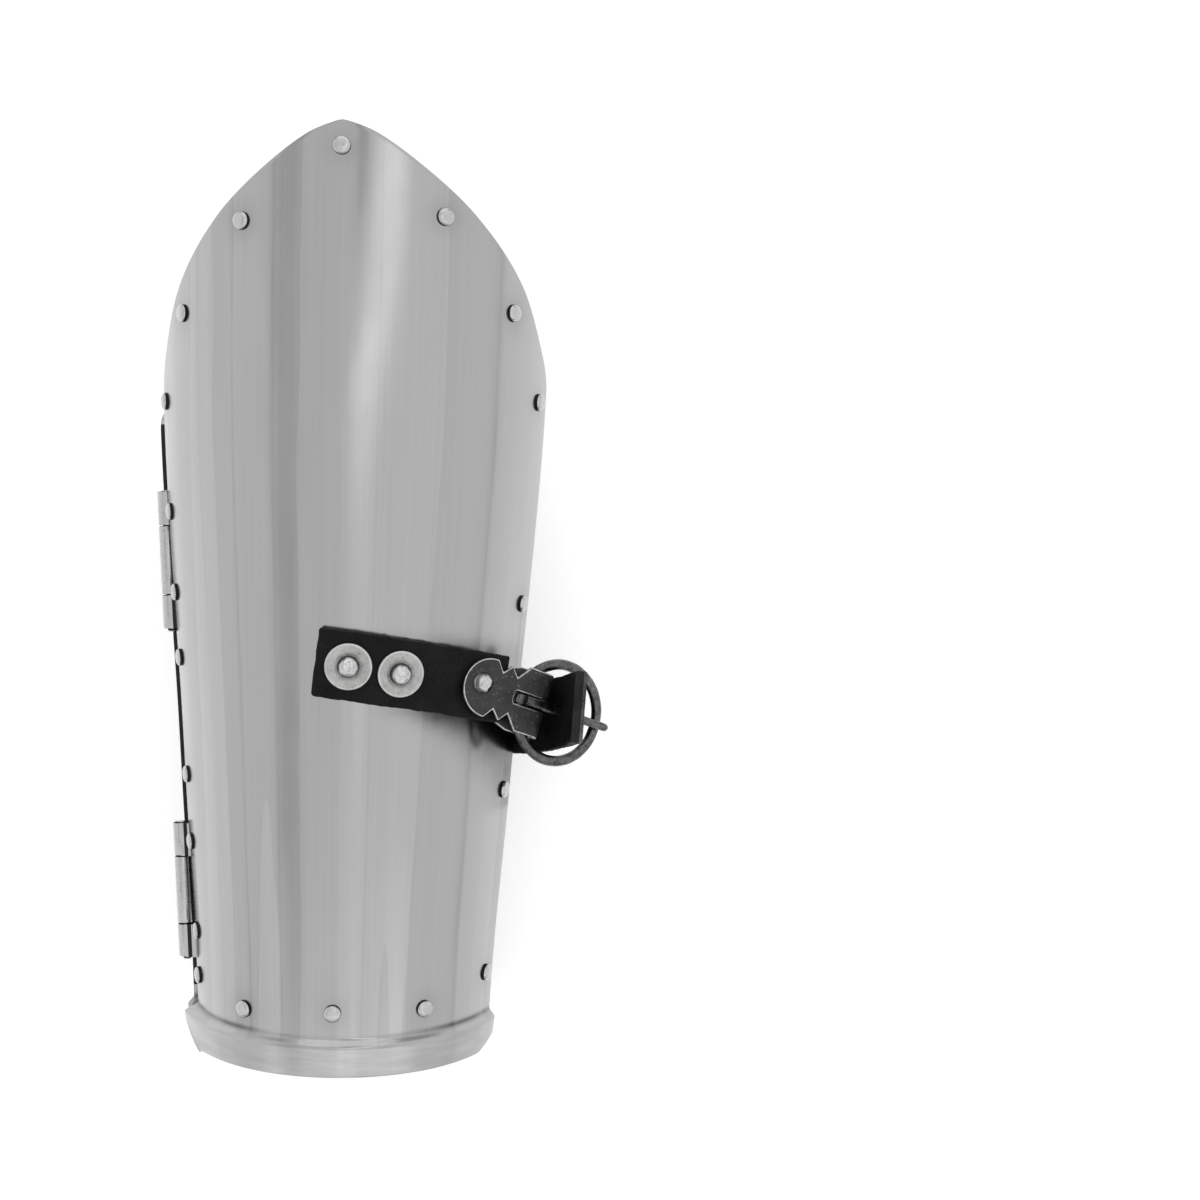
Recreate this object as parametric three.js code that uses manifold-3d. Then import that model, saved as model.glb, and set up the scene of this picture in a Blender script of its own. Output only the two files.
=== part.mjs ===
// A hinged steel bracer for one forearm, lying on its back plate.
// Millimetres. While it is modelled, +Y runs along the arm to the elbow point, +X is the buckle
// side, -X the hinge side, and the front plate's two long edges lie in the plane z = 0.
import * as THREE from 'three';
import { mergeVertices } from 'three/addons/utils/BufferGeometryUtils.js';
import Module from 'manifold-3d';

const wasm = await Module();
wasm.setup();

const degrees = THREE.MathUtils.degToRad;

// Driving dimensions
const gap = 0.3;
const steel = 1.2;
const edgeAngle = degrees(74);

// Half width of the front plate along the arm
const taper = [
  { y: 0, half: 41.5 },
  { y: 30, half: 43.0 },
  { y: 65, half: 45.6 },
  { y: 100, half: 48.0 },
  { y: 140, half: 51.2 },
  { y: 175, half: 53.5 },
  { y: 205, half: 54.4 },
  { y: 256, half: 54.8 },
];

// Right half of the pointed elbow end: distance round the plate from its middle, and height
const elbowOutline = [
  { round: 0, y: 255 },
  { round: 8, y: 251.7 },
  { round: 21, y: 243 },
  { round: 36, y: 231.5 },
  { round: 54.5, y: 213.6 },
  { round: 65, y: 198.6 },
  { round: 71, y: 189.5 },
  { round: 73, y: 182 },
];
// The point leans a little: its buckle side is higher than its hinge side
const elbow = { halfRound: 73, shoulder: 150, lean: 2.8 };

// The stepped band round the wrist end, and the corners cut off at its ends, deeper on the hinge side
const rim = { groove: 10.9, crest: 8.2, lift: 1.8, lipLift: 1.2 };
// The front plate's rim stands out further at its hinge corner, by this share
const rimFlare = 1.2;
const rimCorners = { hinge: { up: 5.5, along: 10.5 }, buckle: { up: 3.4, along: 8.5 } };

// Back plate: its section is a flat strip between two quarter ellipses
const back = { top: 181, corner: 6, seam: 6, shift: -2.4, depthShare: 0.72, flatHalf: 18, flatShare: 0.3 };
const backRound = 53;

// Grid of the plates: the first row above the rim, the rows' steps, and how many columns
const plateGrid = {
  firstRow: 22,
  frontStep: 21,
  frontColumns: 24,
  elbowSteps: 7,
  backStep: 25,
  backColumns: 20,
};
const backCornerRow = 2;

const plateRivet = { head: 2.4, flat: 1.9, rise: 1.4, shank: 1.2, hole: 1.5, sides: 8 };
const rivetInset = 5.2;
const pointRivet = { round: 0, y: 248.4 };
const elbowRivets = [{ round: 27.8, y: 230.6 }, { round: 51.6, y: 207.4 }, { round: 66.4, y: 184 }];
const sideRivets = [{ side: 'hinge', at: [111, 77.8, 20] }, { side: 'buckle', at: [128.6, 75.5, 22.5] }];
const wristRivets = [{ round: -26.2, y: 16.2 }, { round: 0.5, y: 17.6 }, { round: 26.4, y: 17.2 }];
const backInset = 0.885;
const backRivets = [{ side: 'hinge', at: [170, 109, 75, 20] }, { side: 'buckle', at: [166, 125, 64, 20] }];
const backWristRivets = { y: 17.2, across: [-0.45, 0.45] };
const foot = { y: 174, across: [-0.22, 0, 0.22] };

const hinge = {
  length: 39,
  barrel: 2.3,
  bore: 1.45,
  pin: 1.1,
  pinEnd: 1,
  endKnuckle: 9.8,
  knuckleGap: 0.3,
  leaf: 1,
  leafClear: 0.5,
  leafReach: 11,
  leafShare: 0.19,
  leafLip: 1.4,
  overrun: 2,
  axisDrop: 3,
  axisAtWrist: 44.46,
  axisSpread: 0.0589,
  sides: 10,
};
const hinges = [
  { name: 'elbow', y: 138, rivets: [129.4, 152] },
  { name: 'wrist', y: 43, rivets: [32.8, 58.6] },
];

const leather = 2.4;
const strap = {
  width: 18.6,
  start: { x: -4.6, y: 114.4 },
  onPlate: 24,
  length: 53,
  steps: 18,
  lift: 0.45,
  slantStart: 7,
  slantEnd: 11,
  slopeEnd: 31,
  coneTilt: 3.4,
  endTilt: -4,
};
const washer = { radius: 6.3, thick: 1, hole: 1.9, bevel: 0.3, seat: 0.45, sides: 14 };
const strapRivet = { head: 2.95, rise: 1.9, shank: 1.5, hole: 1.8, sides: 10 };
// Shares of the head's radius and rise where its dome bends
const domeBends = [{ out: 0.92, up: 0.5 }, { out: 0.6, up: 0.88 }];
const strapRivetPlaces = [8.7, 22.4];
const chapePlace = 45.6;

// Buckle plate outline, half of it: distance along, and half width there. Its end is an arc about the lobe
const chapeOutline = [
  { along: 2.3, half: 8.1 },
  { along: 4.5, half: 5.3 },
  { along: 6.9, half: 7.8 },
  { along: 9.2, half: 5.2 },
  { along: 12.5, half: 9.1 },
];
const chape = {
  lobe: 1.9,
  rivet: { along: -0.8, across: 0.6 },
  loopHalf: 9.1,
  thick: 1.1,
  halfGap: 2.15,
  foldCentre: 18,
  slotStart: 9.7,
  slotHalf: 1.75,
  slope: 30,
  slant: 19,
  underRadius: 5,
  lap: 0.2,
};
const ring = { centreline: 13.5, wire: 1.5, pivot: 16.5, centre: 9.9, slope: 35, sides: 10, turns: 32 };
const prong = {
  half: 1.35,
  thick: 0.9,
  loopGap: 0.4,
  loopSides: 14,
  past: 0.7,
  rootHeight: 3.2,
  tipHeight: 3.25,
  tipLength: 1.2,
  tipEnd: 0.3,
  tipShare: 0.7,
  sides: 10,
};

// Billet: the free strap from the back plate, up through the ring.
// On the plate: place across its section and along the arm. Off the plate: points by hand.
const billet = { width: 19.8, lift: 0.6, endLean: 0.135, steps: 26, holeHalf: 2, holeSides: 10 };
const billetOnPlate = [
  { across: 0.47, y: 90.4 },
  { across: 0.58, y: 91 },
  { across: 0.7, y: 91.6 },
  { across: 0.82, y: 92.4 },
  { across: 0.92, y: 93.2 },
];
const billetFree = [
  { x: 49.5, y: 94.4, z: -4.5 },
  { x: 52.2, y: 95.6, z: 1.8 },
  { x: 56.2, y: 97.2, z: 8 },
  { x: 60.2, y: 99, z: 14 },
  { x: 63.4, y: 100.8, z: 20 },
  { x: 65.3, y: 102.3, z: 26 },
];
const billetRivetPlaces = [{ across: 0.58, y: 90.9 }, { across: 0.8, y: 92.2 }];

const finishes = {
  steel: { color: 0xb2b2b4, roughness: 0.32, metalness: 1 },
  rivet: { color: 0xbcbcbe, roughness: 0.3, metalness: 1 },
  hinge: { color: 0xc2c2c4, roughness: 0.28, metalness: 1 },
  blackened: { color: 0x3c3c3e, roughness: 0.5, metalness: 0.8 },
  leather: { color: 0x1b1a1c, roughness: 0.7, metalness: 0 },
};

const bracer = new THREE.Group();

function addMesh(name, geometry, finish) {
  const mesh = new THREE.Mesh(geometry, new THREE.MeshStandardMaterial(finishes[finish]));
  mesh.name = name;
  bracer.add(mesh);
}

// Booleans

function toSolid(geometry) {
  const bare = geometry.clone();
  bare.deleteAttribute('normal');
  bare.deleteAttribute('uv');
  const merged = mergeVertices(bare, 1e-4);
  return new wasm.Manifold(new wasm.Mesh({
    numProp: 3,
    vertProperties: new Float32Array(merged.attributes.position.array),
    triVerts: new Uint32Array(merged.index.array),
  }));
}

function toGeometry(solid) {
  const result = solid.getMesh();
  const geometry = new THREE.BufferGeometry();
  geometry.setAttribute('position', new THREE.BufferAttribute(new Float32Array(result.vertProperties), 3));
  geometry.setIndex(new THREE.BufferAttribute(new Uint32Array(result.triVerts), 1));
  geometry.computeVertexNormals();
  return geometry;
}

function cutAll(geometry, cutters) {
  let solid = toSolid(geometry);
  for (const cutter of cutters) {
    solid = solid.subtract(toSolid(cutter));
  }
  return toGeometry(solid);
}

function joinAll(geometries) {
  let solid = toSolid(geometries[0]);
  for (const geometry of geometries.slice(1)) {
    solid = solid.add(toSolid(geometry));
  }
  return solid;
}

// Surfaces

// Smooth curve through a table, read at any place between its first and last rows
function readTable(rows, key, column, place) {
  const at = THREE.MathUtils.clamp(place, rows[0][key], rows[rows.length - 1][key]);
  let i = 0;
  while (i < rows.length - 2 && rows[i + 1][key] < at) {
    i += 1;
  }
  const slope = (j) => {
    const before = rows[Math.max(j - 1, 0)];
    const after = rows[Math.min(j + 1, rows.length - 1)];
    return (after[column] - before[column]) / (after[key] - before[key]);
  };
  const span = rows[i + 1][key] - rows[i][key];
  const t = (at - rows[i][key]) / span;
  const bend = t * t * (3 - 2 * t);
  const leave = t * (1 - t) * (1 - t) * span * slope(i);
  const arrive = t * t * (t - 1) * span * slope(i + 1);
  return rows[i][column] * (1 - bend) + rows[i + 1][column] * bend + leave + arrive;
}

function halfWidth(y) {
  return readTable(taper, 'y', 'half', y);
}

function frontRadius(y) {
  return halfWidth(y) / Math.sin(edgeAngle);
}

function rimLift(y) {
  if (y >= rim.groove) {
    return 0;
  }
  if (y > rim.crest) {
    return rim.lift * THREE.MathUtils.smoothstep(rim.groove - y, 0, rim.groove - rim.crest);
  }
  return THREE.MathUtils.lerp(rim.lipLift, rim.lift, y / rim.crest);
}

// Point on the front plate's outside, at a distance round it from its middle line
function frontPoint(round, y, lift) {
  const radius = frontRadius(y);
  const angle = round / radius;
  const reach = radius + lift;
  return new THREE.Vector3(
    reach * Math.sin(angle),
    y,
    reach * Math.cos(angle) - radius * Math.cos(edgeAngle),
  );
}

// Point on the back plate's outside; across runs from -1 at the hinge edge to 1 at the buckle edge
function backPoint(across, y, lift) {
  const half = halfWidth(y);
  const depth = back.depthShare * half;
  const side = Math.sign(across);
  const past = Math.max(Math.abs(across) - back.flatShare, 0) / (1 - back.flatShare);
  const turn = past * Math.PI / 2;
  const inFlat = Math.min(Math.abs(across) / back.flatShare, 1) * back.flatHalf;
  const reach = half - back.flatHalf;
  const normal = new THREE.Vector2(side * Math.sin(turn) / reach, -Math.cos(turn) / depth).normalize();
  return new THREE.Vector3(
    back.shift + side * (inFlat + reach * Math.sin(turn)) + normal.x * lift,
    y,
    -back.seam - depth * Math.cos(turn) + normal.y * lift,
  );
}

function outwardNormal(surface, place, y, step) {
  const sideways = surface(place + step, y, 0).sub(surface(place - step, y, 0));
  const along = surface(place, y + 1, 0).sub(surface(place, y - 1, 0));
  const normal = sideways.cross(along).normalize();
  const outward = surface(place, y, 1).sub(surface(place, y, 0));
  return normal.dot(outward) < 0 ? normal.negate() : normal;
}

const frontNormal = (round, y) => outwardNormal(frontPoint, round, y, 0.5);
const backNormal = (across, y) => outwardNormal(backPoint, across, y, 0.01);

// Closed wall from two grids of points, outer and inner
function wall(columns, rows, outerAt, innerAt) {
  const across = columns + 1;
  const total = across * (rows + 1);
  const points = [];
  for (const at of [outerAt, innerAt]) {
    for (let row = 0; row <= rows; row += 1) {
      for (let column = 0; column <= columns; column += 1) {
        points.push(...at(column / columns, row).toArray());
      }
    }
  }
  const faces = [];
  const quad = (a, b, c, d) => faces.push(a, b, c, a, c, d);
  const id = (column, row) => row * across + column;
  for (let row = 0; row < rows; row += 1) {
    for (let column = 0; column < columns; column += 1) {
      const ring4 = [id(column, row), id(column + 1, row), id(column + 1, row + 1), id(column, row + 1)];
      quad(...ring4);
      quad(...ring4.map((i) => i + total).reverse());
    }
  }
  const edge = [];
  for (let column = 0; column < columns; column += 1) {
    edge.push(id(column, 0));
  }
  for (let row = 0; row < rows; row += 1) {
    edge.push(id(columns, row));
  }
  for (let column = columns; column > 0; column -= 1) {
    edge.push(id(column, rows));
  }
  for (let row = rows; row > 0; row -= 1) {
    edge.push(id(0, row));
  }
  edge.forEach((a, i) => {
    const b = edge[(i + 1) % edge.length];
    quad(b, a, a + total, b + total);
  });
  const geometry = new THREE.BufferGeometry();
  geometry.setAttribute('position', new THREE.Float32BufferAttribute(points, 3));
  geometry.setIndex(signedVolume(points, faces) < 0 ? faces.reverse() : faces);
  geometry.computeVertexNormals();
  return geometry;
}

function signedVolume(points, faces) {
  const corner = (i) => new THREE.Vector3().fromArray(points, faces[i] * 3);
  let volume = 0;
  for (let i = 0; i < faces.length; i += 3) {
    volume += corner(i).dot(corner(i + 1).cross(corner(i + 2)));
  }
  return volume;
}

// Heights of the grid rows that both plates share, from the wrist end up
function wristRows(upTo, step) {
  const middle = (rim.crest + rim.groove) / 2;
  const rows = [0, rimCorners.buckle.up, rimCorners.hinge.up, rim.crest, middle, rim.groove];
  for (let y = plateGrid.firstRow; y < upTo; y += step) {
    rows.push(y);
  }
  return rows;
}

// The cut corners draw in the ends of the lowest rows, and hardly move their middles
function cornerShare(across, y, halfRound) {
  const corner = across < 0 ? rimCorners.hinge : rimCorners.buckle;
  const cut = Math.max(1 - y / corner.up, 0) * corner.along / halfRound;
  return across * (1 - cut * across ** 4);
}

// Round pieces on an axis: a profile of radius and height, turned and stood on a normal

function turned(profile, sides, base, normal) {
  const outline = profile.map(([radius, height]) => new THREE.Vector2(radius, height));
  const geometry = new THREE.LatheGeometry(outline, sides);
  const turn = new THREE.Quaternion().setFromUnitVectors(new THREE.Vector3(0, 1, 0), normal);
  geometry.applyQuaternion(turn);
  return geometry.translate(base.x, base.y, base.z);
}

function peg(radius, sides, base, normal, below, above) {
  return turned([[0, -below], [radius, -below], [radius, above], [0, above]], sides, base, normal);
}

function flatRivet(base, normal, grip) {
  const { head, flat, rise, shank, sides } = plateRivet;
  return turned([
    [0, -grip],
    [shank, -grip],
    [shank, gap],
    [head, gap],
    [head, rise - (head - flat)],
    [flat, rise],
    [0, rise],
  ], sides, base, normal);
}

function domedRivet(base, normal, grip) {
  const { head, rise, shank, sides } = strapRivet;
  return turned([
    [0, -grip],
    [shank, -grip],
    [shank, gap],
    [head, gap],
    ...domeBends.map(({ out, up }) => [head * out, rise * up]),
    [0, rise],
  ], sides, base, normal);
}

// Rivets of the two plates

const holes = { front: [], back: [] };
const holeReach = 4;

function rivetPlate(name, plate, place, y, grip, axis) {
  const surface = plate === 'front' ? frontPoint : backPoint;
  const normal = axis ?? (plate === 'front' ? frontNormal(place, y) : backNormal(place, y));
  const base = surface(place, y, 0);
  addMesh(name, flatRivet(base, normal, grip), 'rivet');
  holes[plate].push(peg(plateRivet.hole, plateRivet.sides, base, normal, holeReach, holeReach));
}

const plateGrip = steel + gap;
const leafGrip = plateGrip + hinge.leaf + hinge.leafClear;
const edgeRound = (y) => frontRadius(y) * edgeAngle - rivetInset;

rivetPlate('rivet_point', 'front', pointRivet.round, pointRivet.y, plateGrip);
elbowRivets.forEach(({ round, y }, i) => {
  rivetPlate(`rivet_elbow_hinge_${i + 1}`, 'front', -round, y - elbow.lean, plateGrip);
  rivetPlate(`rivet_elbow_buckle_${i + 1}`, 'front', round, y + elbow.lean, plateGrip);
});
for (const { side, at } of sideRivets) {
  at.forEach((y, i) => {
    const round = side === 'hinge' ? -edgeRound(y) : edgeRound(y);
    rivetPlate(`rivet_${side}_edge_${i + 1}`, 'front', round, y, plateGrip);
  });
}
wristRivets.forEach(({ round, y }, i) => {
  rivetPlate(`rivet_wrist_${i + 1}`, 'front', round, y, plateGrip);
});

// The back plate lies on three rivet heads near its elbow edge and on the crest of its rim
const footDepth = -backPoint(0, foot.y, plateRivet.rise).z;
const crestDepth = -backPoint(0, rim.crest, rim.lift).z;
const pitch = Math.atan2(footDepth - crestDepth, foot.y - rim.crest);
const tableNormal = new THREE.Vector3(0, -Math.sin(pitch), -Math.cos(pitch));
foot.across.forEach((across, i) => {
  rivetPlate(`rivet_back_elbow_${i + 1}`, 'back', across, foot.y, plateGrip, tableNormal);
});
for (const { side, at } of backRivets) {
  at.forEach((y, i) => {
    const across = side === 'hinge' ? -backInset : backInset;
    rivetPlate(`rivet_back_${side}_${i + 1}`, 'back', across, y, plateGrip);
  });
}
backWristRivets.across.forEach((across, i) => {
  rivetPlate(`rivet_back_wrist_${i + 1}`, 'back', across, backWristRivets.y, plateGrip);
});

// Hinges: each leaf lies inside its plate, and its web passes out through the seam to the barrel

function axisPoint(y) {
  return new THREE.Vector3(-(hinge.axisAtWrist + hinge.axisSpread * y), y, -hinge.axisDrop);
}

const axisDirection = axisPoint(1).sub(axisPoint(0)).normalize();

function barrelPiece(radius, from, to) {
  return peg(radius, hinge.sides, axisPoint(from), axisDirection, 0, (to - from) / axisDirection.y);
}

// Strip of steel across the seam, from the barrel to the inside of a plate
function web(from, to, height, inside) {
  const at = (share, row, lift) => {
    const y = row === 0 ? from : to;
    const outer = axisPoint(y).x;
    return new THREE.Vector3(THREE.MathUtils.lerp(outer, inside(y), share), y, height + lift);
  };
  const half = hinge.leaf / 2;
  return wall(1, 1, (share, row) => at(share, row, half), (share, row) => at(share, row, -half));
}

function leafWall(columns, at) {
  const near = steel + hinge.leafClear;
  const far = near + hinge.leaf;
  return wall(columns, 1, (share, row) => at(share, row, near), (share, row) => at(share, row, far));
}

function frontLeaf(from, to) {
  return leafWall(4, (share, row, sink) => {
    const y = row === 0 ? from : to;
    const end = frontRadius(y) * edgeAngle + hinge.leafLip;
    return frontPoint(share * (hinge.leafReach + hinge.leafLip) - end, y, -sink);
  });
}

// The first column of this leaf is its lip, straight up from the plate's edge
function backLeaf(from, to) {
  const columns = 8;
  return leafWall(columns, (share, row, sink) => {
    const y = row === 0 ? from : to;
    const column = Math.round(share * columns);
    const along = Math.max(column - 1, 0) / (columns - 1);
    const point = backPoint(along * hinge.leafShare - 1, y, -sink);
    point.z += column === 0 ? hinge.leafLip : 0;
    return point;
  });
}

for (const { name, y, rivets } of hinges) {
  const low = y - hinge.length / 2;
  const high = y + hinge.length / 2;
  const inner = { from: low + hinge.endKnuckle, to: high - hinge.endKnuckle };
  const leafMiddle = steel + hinge.leafClear + hinge.leaf / 2;
  const insideFront = (at) => frontPoint(-frontRadius(at) * edgeAngle, at, -leafMiddle).x;
  const insideBack = (at) => backPoint(-1, at, -leafMiddle).x;
  const webDrop = hinge.barrel - hinge.leaf / 2;
  const bore = barrelPiece(hinge.bore, low - hinge.overrun, high + hinge.overrun);

  const room = hinge.barrel + gap;
  const frontKnuckles = [[low, inner.from - hinge.knuckleGap], [inner.to + hinge.knuckleGap, high]];
  const frontPieces = [frontLeaf(low, high)];
  for (const [from, to] of frontKnuckles) {
    frontPieces.push(barrelPiece(hinge.barrel, from, to));
    frontPieces.push(web(from, to, -hinge.axisDrop + webDrop, insideFront));
  }
  const middleRoom = barrelPiece(room, inner.from - hinge.knuckleGap, inner.to + hinge.knuckleGap);
  const frontHinge = joinAll(frontPieces).subtract(toSolid(bore)).subtract(toSolid(middleRoom));

  const backPieces = [
    backLeaf(low, high),
    barrelPiece(hinge.barrel, inner.from, inner.to),
    web(inner.from, inner.to, -hinge.axisDrop - webDrop, insideBack),
  ];
  let backHinge = joinAll(backPieces).subtract(toSolid(bore));
  for (const [from, to] of [[low - hinge.overrun, inner.from], [inner.to, high + hinge.overrun]]) {
    backHinge = backHinge.subtract(toSolid(barrelPiece(room, from, to)));
  }

  const leafHoles = { front: [], back: [] };
  rivets.forEach((at, i) => {
    const round = -edgeRound(at);
    rivetPlate(`rivet_hinge_${name}_front_${i + 1}`, 'front', round, at, leafGrip);
    rivetPlate(`rivet_hinge_${name}_back_${i + 1}`, 'back', -backInset, at, leafGrip);
    leafHoles.front.push(holes.front.at(-1));
    leafHoles.back.push(holes.back.at(-1));
  });
  addMesh(`hinge_${name}_front_leaf`, cutAll(toGeometry(frontHinge), leafHoles.front), 'hinge');
  addMesh(`hinge_${name}_back_leaf`, cutAll(toGeometry(backHinge), leafHoles.back), 'hinge');
  addMesh(`hinge_${name}_pin`, barrelPiece(hinge.pin, low - hinge.pinEnd, high + gap), 'hinge');
}

// Strap: lies on the front plate round its crown, then leaves it and runs straighter to the buckle

function strapFrame(slope, slant, tilt) {
  const down = new THREE.Vector3(Math.cos(slope), 0, -Math.sin(slope));
  const up = new THREE.Vector3(
    Math.sin(slope) * Math.sin(tilt),
    Math.cos(tilt),
    Math.cos(slope) * Math.sin(tilt),
  );
  const along = down.clone().multiplyScalar(Math.cos(slant)).addScaledVector(up, -Math.sin(slant));
  const across = up.clone().multiplyScalar(Math.cos(slant)).addScaledVector(down, Math.sin(slant));
  return { along, across, normal: along.clone().cross(across) };
}

const strapMiddle = leather / 2 + strap.lift;
const strapRadius = frontRadius(strap.start.y) + strapMiddle;
const strapStart = frontPoint(strap.start.x, strap.start.y, strapMiddle);
const slopeAtStart = strap.start.x / frontRadius(strap.start.y);

function strapSlope(distance) {
  const onPlate = Math.min(distance, strap.onPlate) / strapRadius;
  const free = Math.max(distance - strap.onPlate, 0) / (strap.length - strap.onPlate);
  const leaving = slopeAtStart + strap.onPlate / strapRadius;
  return slopeAtStart + onPlate + free * (degrees(strap.slopeEnd) - leaving);
}

function strapSlant(distance) {
  return degrees(THREE.MathUtils.lerp(strap.slantStart, strap.slantEnd, distance / strap.length));
}

// On the plate the strap leans as the plate's cone does, and off it it twists over to the buckle
function strapTilt(distance) {
  const free = Math.max(distance - strap.onPlate, 0) / (strap.length - strap.onPlate);
  return degrees(THREE.MathUtils.lerp(strap.coneTilt, strap.endTilt, free));
}

function strapFrameAt(distance) {
  return strapFrame(strapSlope(distance), strapSlant(distance), strapTilt(distance));
}

function strapStation(distance) {
  const fine = 0.25;
  const centre = strapStart.clone();
  for (let at = 0; at < distance; at += fine) {
    centre.addScaledVector(strapFrameAt(at).along, Math.min(fine, distance - at));
  }
  return { centre, ...strapFrameAt(distance) };
}

function band(stations, width, thickness) {
  const at = (share, row, lift) => {
    const { centre, across, normal } = stations[row];
    return centre.clone().addScaledVector(across, (share - 0.5) * width).addScaledVector(normal, lift);
  };
  const rows = stations.length - 1;
  const half = thickness / 2;
  return wall(2, rows, (share, row) => at(share, row, half), (share, row) => at(share, row, -half));
}

const strapStations = [];
for (let i = 0; i <= strap.steps; i += 1) {
  strapStations.push(strapStation(i / strap.steps * strap.length));
}

// Washer and domed rivet that hold leather on a plate; top is the leather's outer face
function fastenLeather(name, index, top, normal, lift, leatherHoles, plateHoles) {
  const low = washer.seat;
  const high = low + washer.thick;
  const section = [
    [washer.hole, low],
    [washer.radius, low],
    [washer.radius, high - washer.bevel],
    [washer.radius - washer.bevel, high],
    [washer.hole, high],
    [washer.hole, low],
  ];
  addMesh(`${name}_washer_${index}`, turned(section, washer.sides, top, normal), 'rivet');
  const seat = top.clone().addScaledVector(normal, high);
  addMesh(`${name}_rivet_${index}`, domedRivet(seat, normal, high + leather + lift + plateGrip), 'rivet');
  const cutter = peg(strapRivet.hole, strapRivet.sides, top, normal, leather + holeReach, holeReach);
  leatherHoles.push(cutter);
  plateHoles.push(cutter);
}

const strapHoles = [];
strapRivetPlaces.forEach((distance, i) => {
  const { centre, normal } = strapStation(distance);
  const top = centre.clone().addScaledVector(normal, leather / 2);
  fastenLeather('strap', i + 1, top, normal, strap.lift, strapHoles, holes.front);
});

// Buckle plate: a strip folded round the ring, with a slot for the prong

const chapeRoot = strapStation(chapePlace).centre;
const chapeFrame = strapFrame(degrees(chape.slope), degrees(chape.slant), degrees(strap.endTilt));
const chapeRivetPlace = new THREE.Vector3(chape.rivet.along, chape.rivet.across, 0);
const chapeRivetBase = chapeRoot.clone()
  .addScaledVector(chapeFrame.along, chape.rivet.along)
  .addScaledVector(chapeFrame.across, chape.rivet.across);

function placed(geometry, frame, origin) {
  const basis = new THREE.Matrix4().makeBasis(frame.along, frame.across, frame.normal);
  return geometry.applyMatrix4(basis.setPosition(origin));
}

function chapeTopShape() {
  const shape = new THREE.Shape();
  const first = chapeOutline[0];
  const reach = first.along - chape.lobe;
  const start = Math.atan2(first.half, reach);
  shape.absarc(chape.lobe, 0, Math.hypot(reach, first.half), start, 2 * Math.PI - start, false);
  for (const { along, half } of chapeOutline.slice(1)) {
    shape.lineTo(along, -half);
  }
  shape.lineTo(chape.foldCentre, -chape.loopHalf);
  shape.lineTo(chape.foldCentre, chape.loopHalf);
  for (const { along, half } of chapeOutline.slice(1).reverse()) {
    shape.lineTo(along, half);
  }
  return shape;
}

function plateOf(shape, from, thickness) {
  const options = { depth: thickness, bevelEnabled: false, curveSegments: 12 };
  return new THREE.ExtrudeGeometry(shape, options).translate(0, 0, from);
}

function foldShape() {
  const outer = chape.halfGap + chape.thick;
  const shape = new THREE.Shape();
  shape.moveTo(-chape.lap, outer);
  shape.lineTo(0, outer);
  shape.absarc(0, 0, outer, Math.PI / 2, -Math.PI / 2, true);
  shape.lineTo(-chape.lap, -outer);
  shape.lineTo(-chape.lap, -chape.halfGap);
  shape.lineTo(0, -chape.halfGap);
  shape.absarc(0, 0, chape.halfGap, -Math.PI / 2, Math.PI / 2, false);
  shape.lineTo(-chape.lap, chape.halfGap);
  return shape;
}

function boxBetween(low, high) {
  const size = high.clone().sub(low);
  const middle = low.clone().add(high).multiplyScalar(0.5);
  return new THREE.BoxGeometry(size.x, size.y, size.z).translate(middle.x, middle.y, middle.z);
}

const chapeOuter = chape.halfGap + chape.thick;
const fold = new THREE.ExtrudeGeometry(foldShape(), {
  depth: 2 * chape.loopHalf,
  bevelEnabled: false,
  curveSegments: 6,
});
fold.rotateX(Math.PI / 2).translate(chape.foldCentre, chape.loopHalf, 0);
const underShape = new THREE.Shape();
underShape.moveTo(chape.foldCentre, -chape.loopHalf);
underShape.lineTo(chape.foldCentre, chape.loopHalf);
underShape.lineTo(chapeOutline.at(-1).along, chape.loopHalf);
underShape.lineTo(0, chape.underRadius);
underShape.absarc(0, 0, chape.underRadius, Math.PI / 2, 1.5 * Math.PI, false);
underShape.lineTo(chapeOutline.at(-1).along, -chape.loopHalf);
const chapeSlot = boxBetween(
  new THREE.Vector3(chape.slotStart, -chape.slotHalf, -2 * chapeOuter),
  new THREE.Vector3(chape.foldCentre + 2 * chapeOuter, chape.slotHalf, 2 * chapeOuter),
);
const chapeHole = peg(
  strapRivet.hole, strapRivet.sides,
  chapeRivetPlace, new THREE.Vector3(0, 0, 1), 2 * chapeOuter, 2 * chapeOuter,
);
const chapeSolid = joinAll([
  plateOf(chapeTopShape(), chape.halfGap, chape.thick),
  plateOf(underShape, -chapeOuter, chape.thick),
  fold,
]).subtract(toSolid(chapeSlot)).subtract(toSolid(chapeHole));
addMesh('buckle_chape', placed(toGeometry(chapeSolid), chapeFrame, chapeRoot), 'blackened');
const chapeTop = chapeRivetBase.clone().addScaledVector(chapeFrame.normal, chapeOuter);
addMesh('buckle_rivet', domedRivet(chapeTop, chapeFrame.normal, 2 * chapeOuter + gap), 'rivet');
const chapeRivetRoom = strapRivet.hole + gap;
strapHoles.push(peg(chapeRivetRoom, strapRivet.sides, chapeRivetBase, chapeFrame.normal, leather, leather));
addMesh('strap', cutAll(band(strapStations, strap.width, leather), strapHoles), 'leather');

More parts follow.
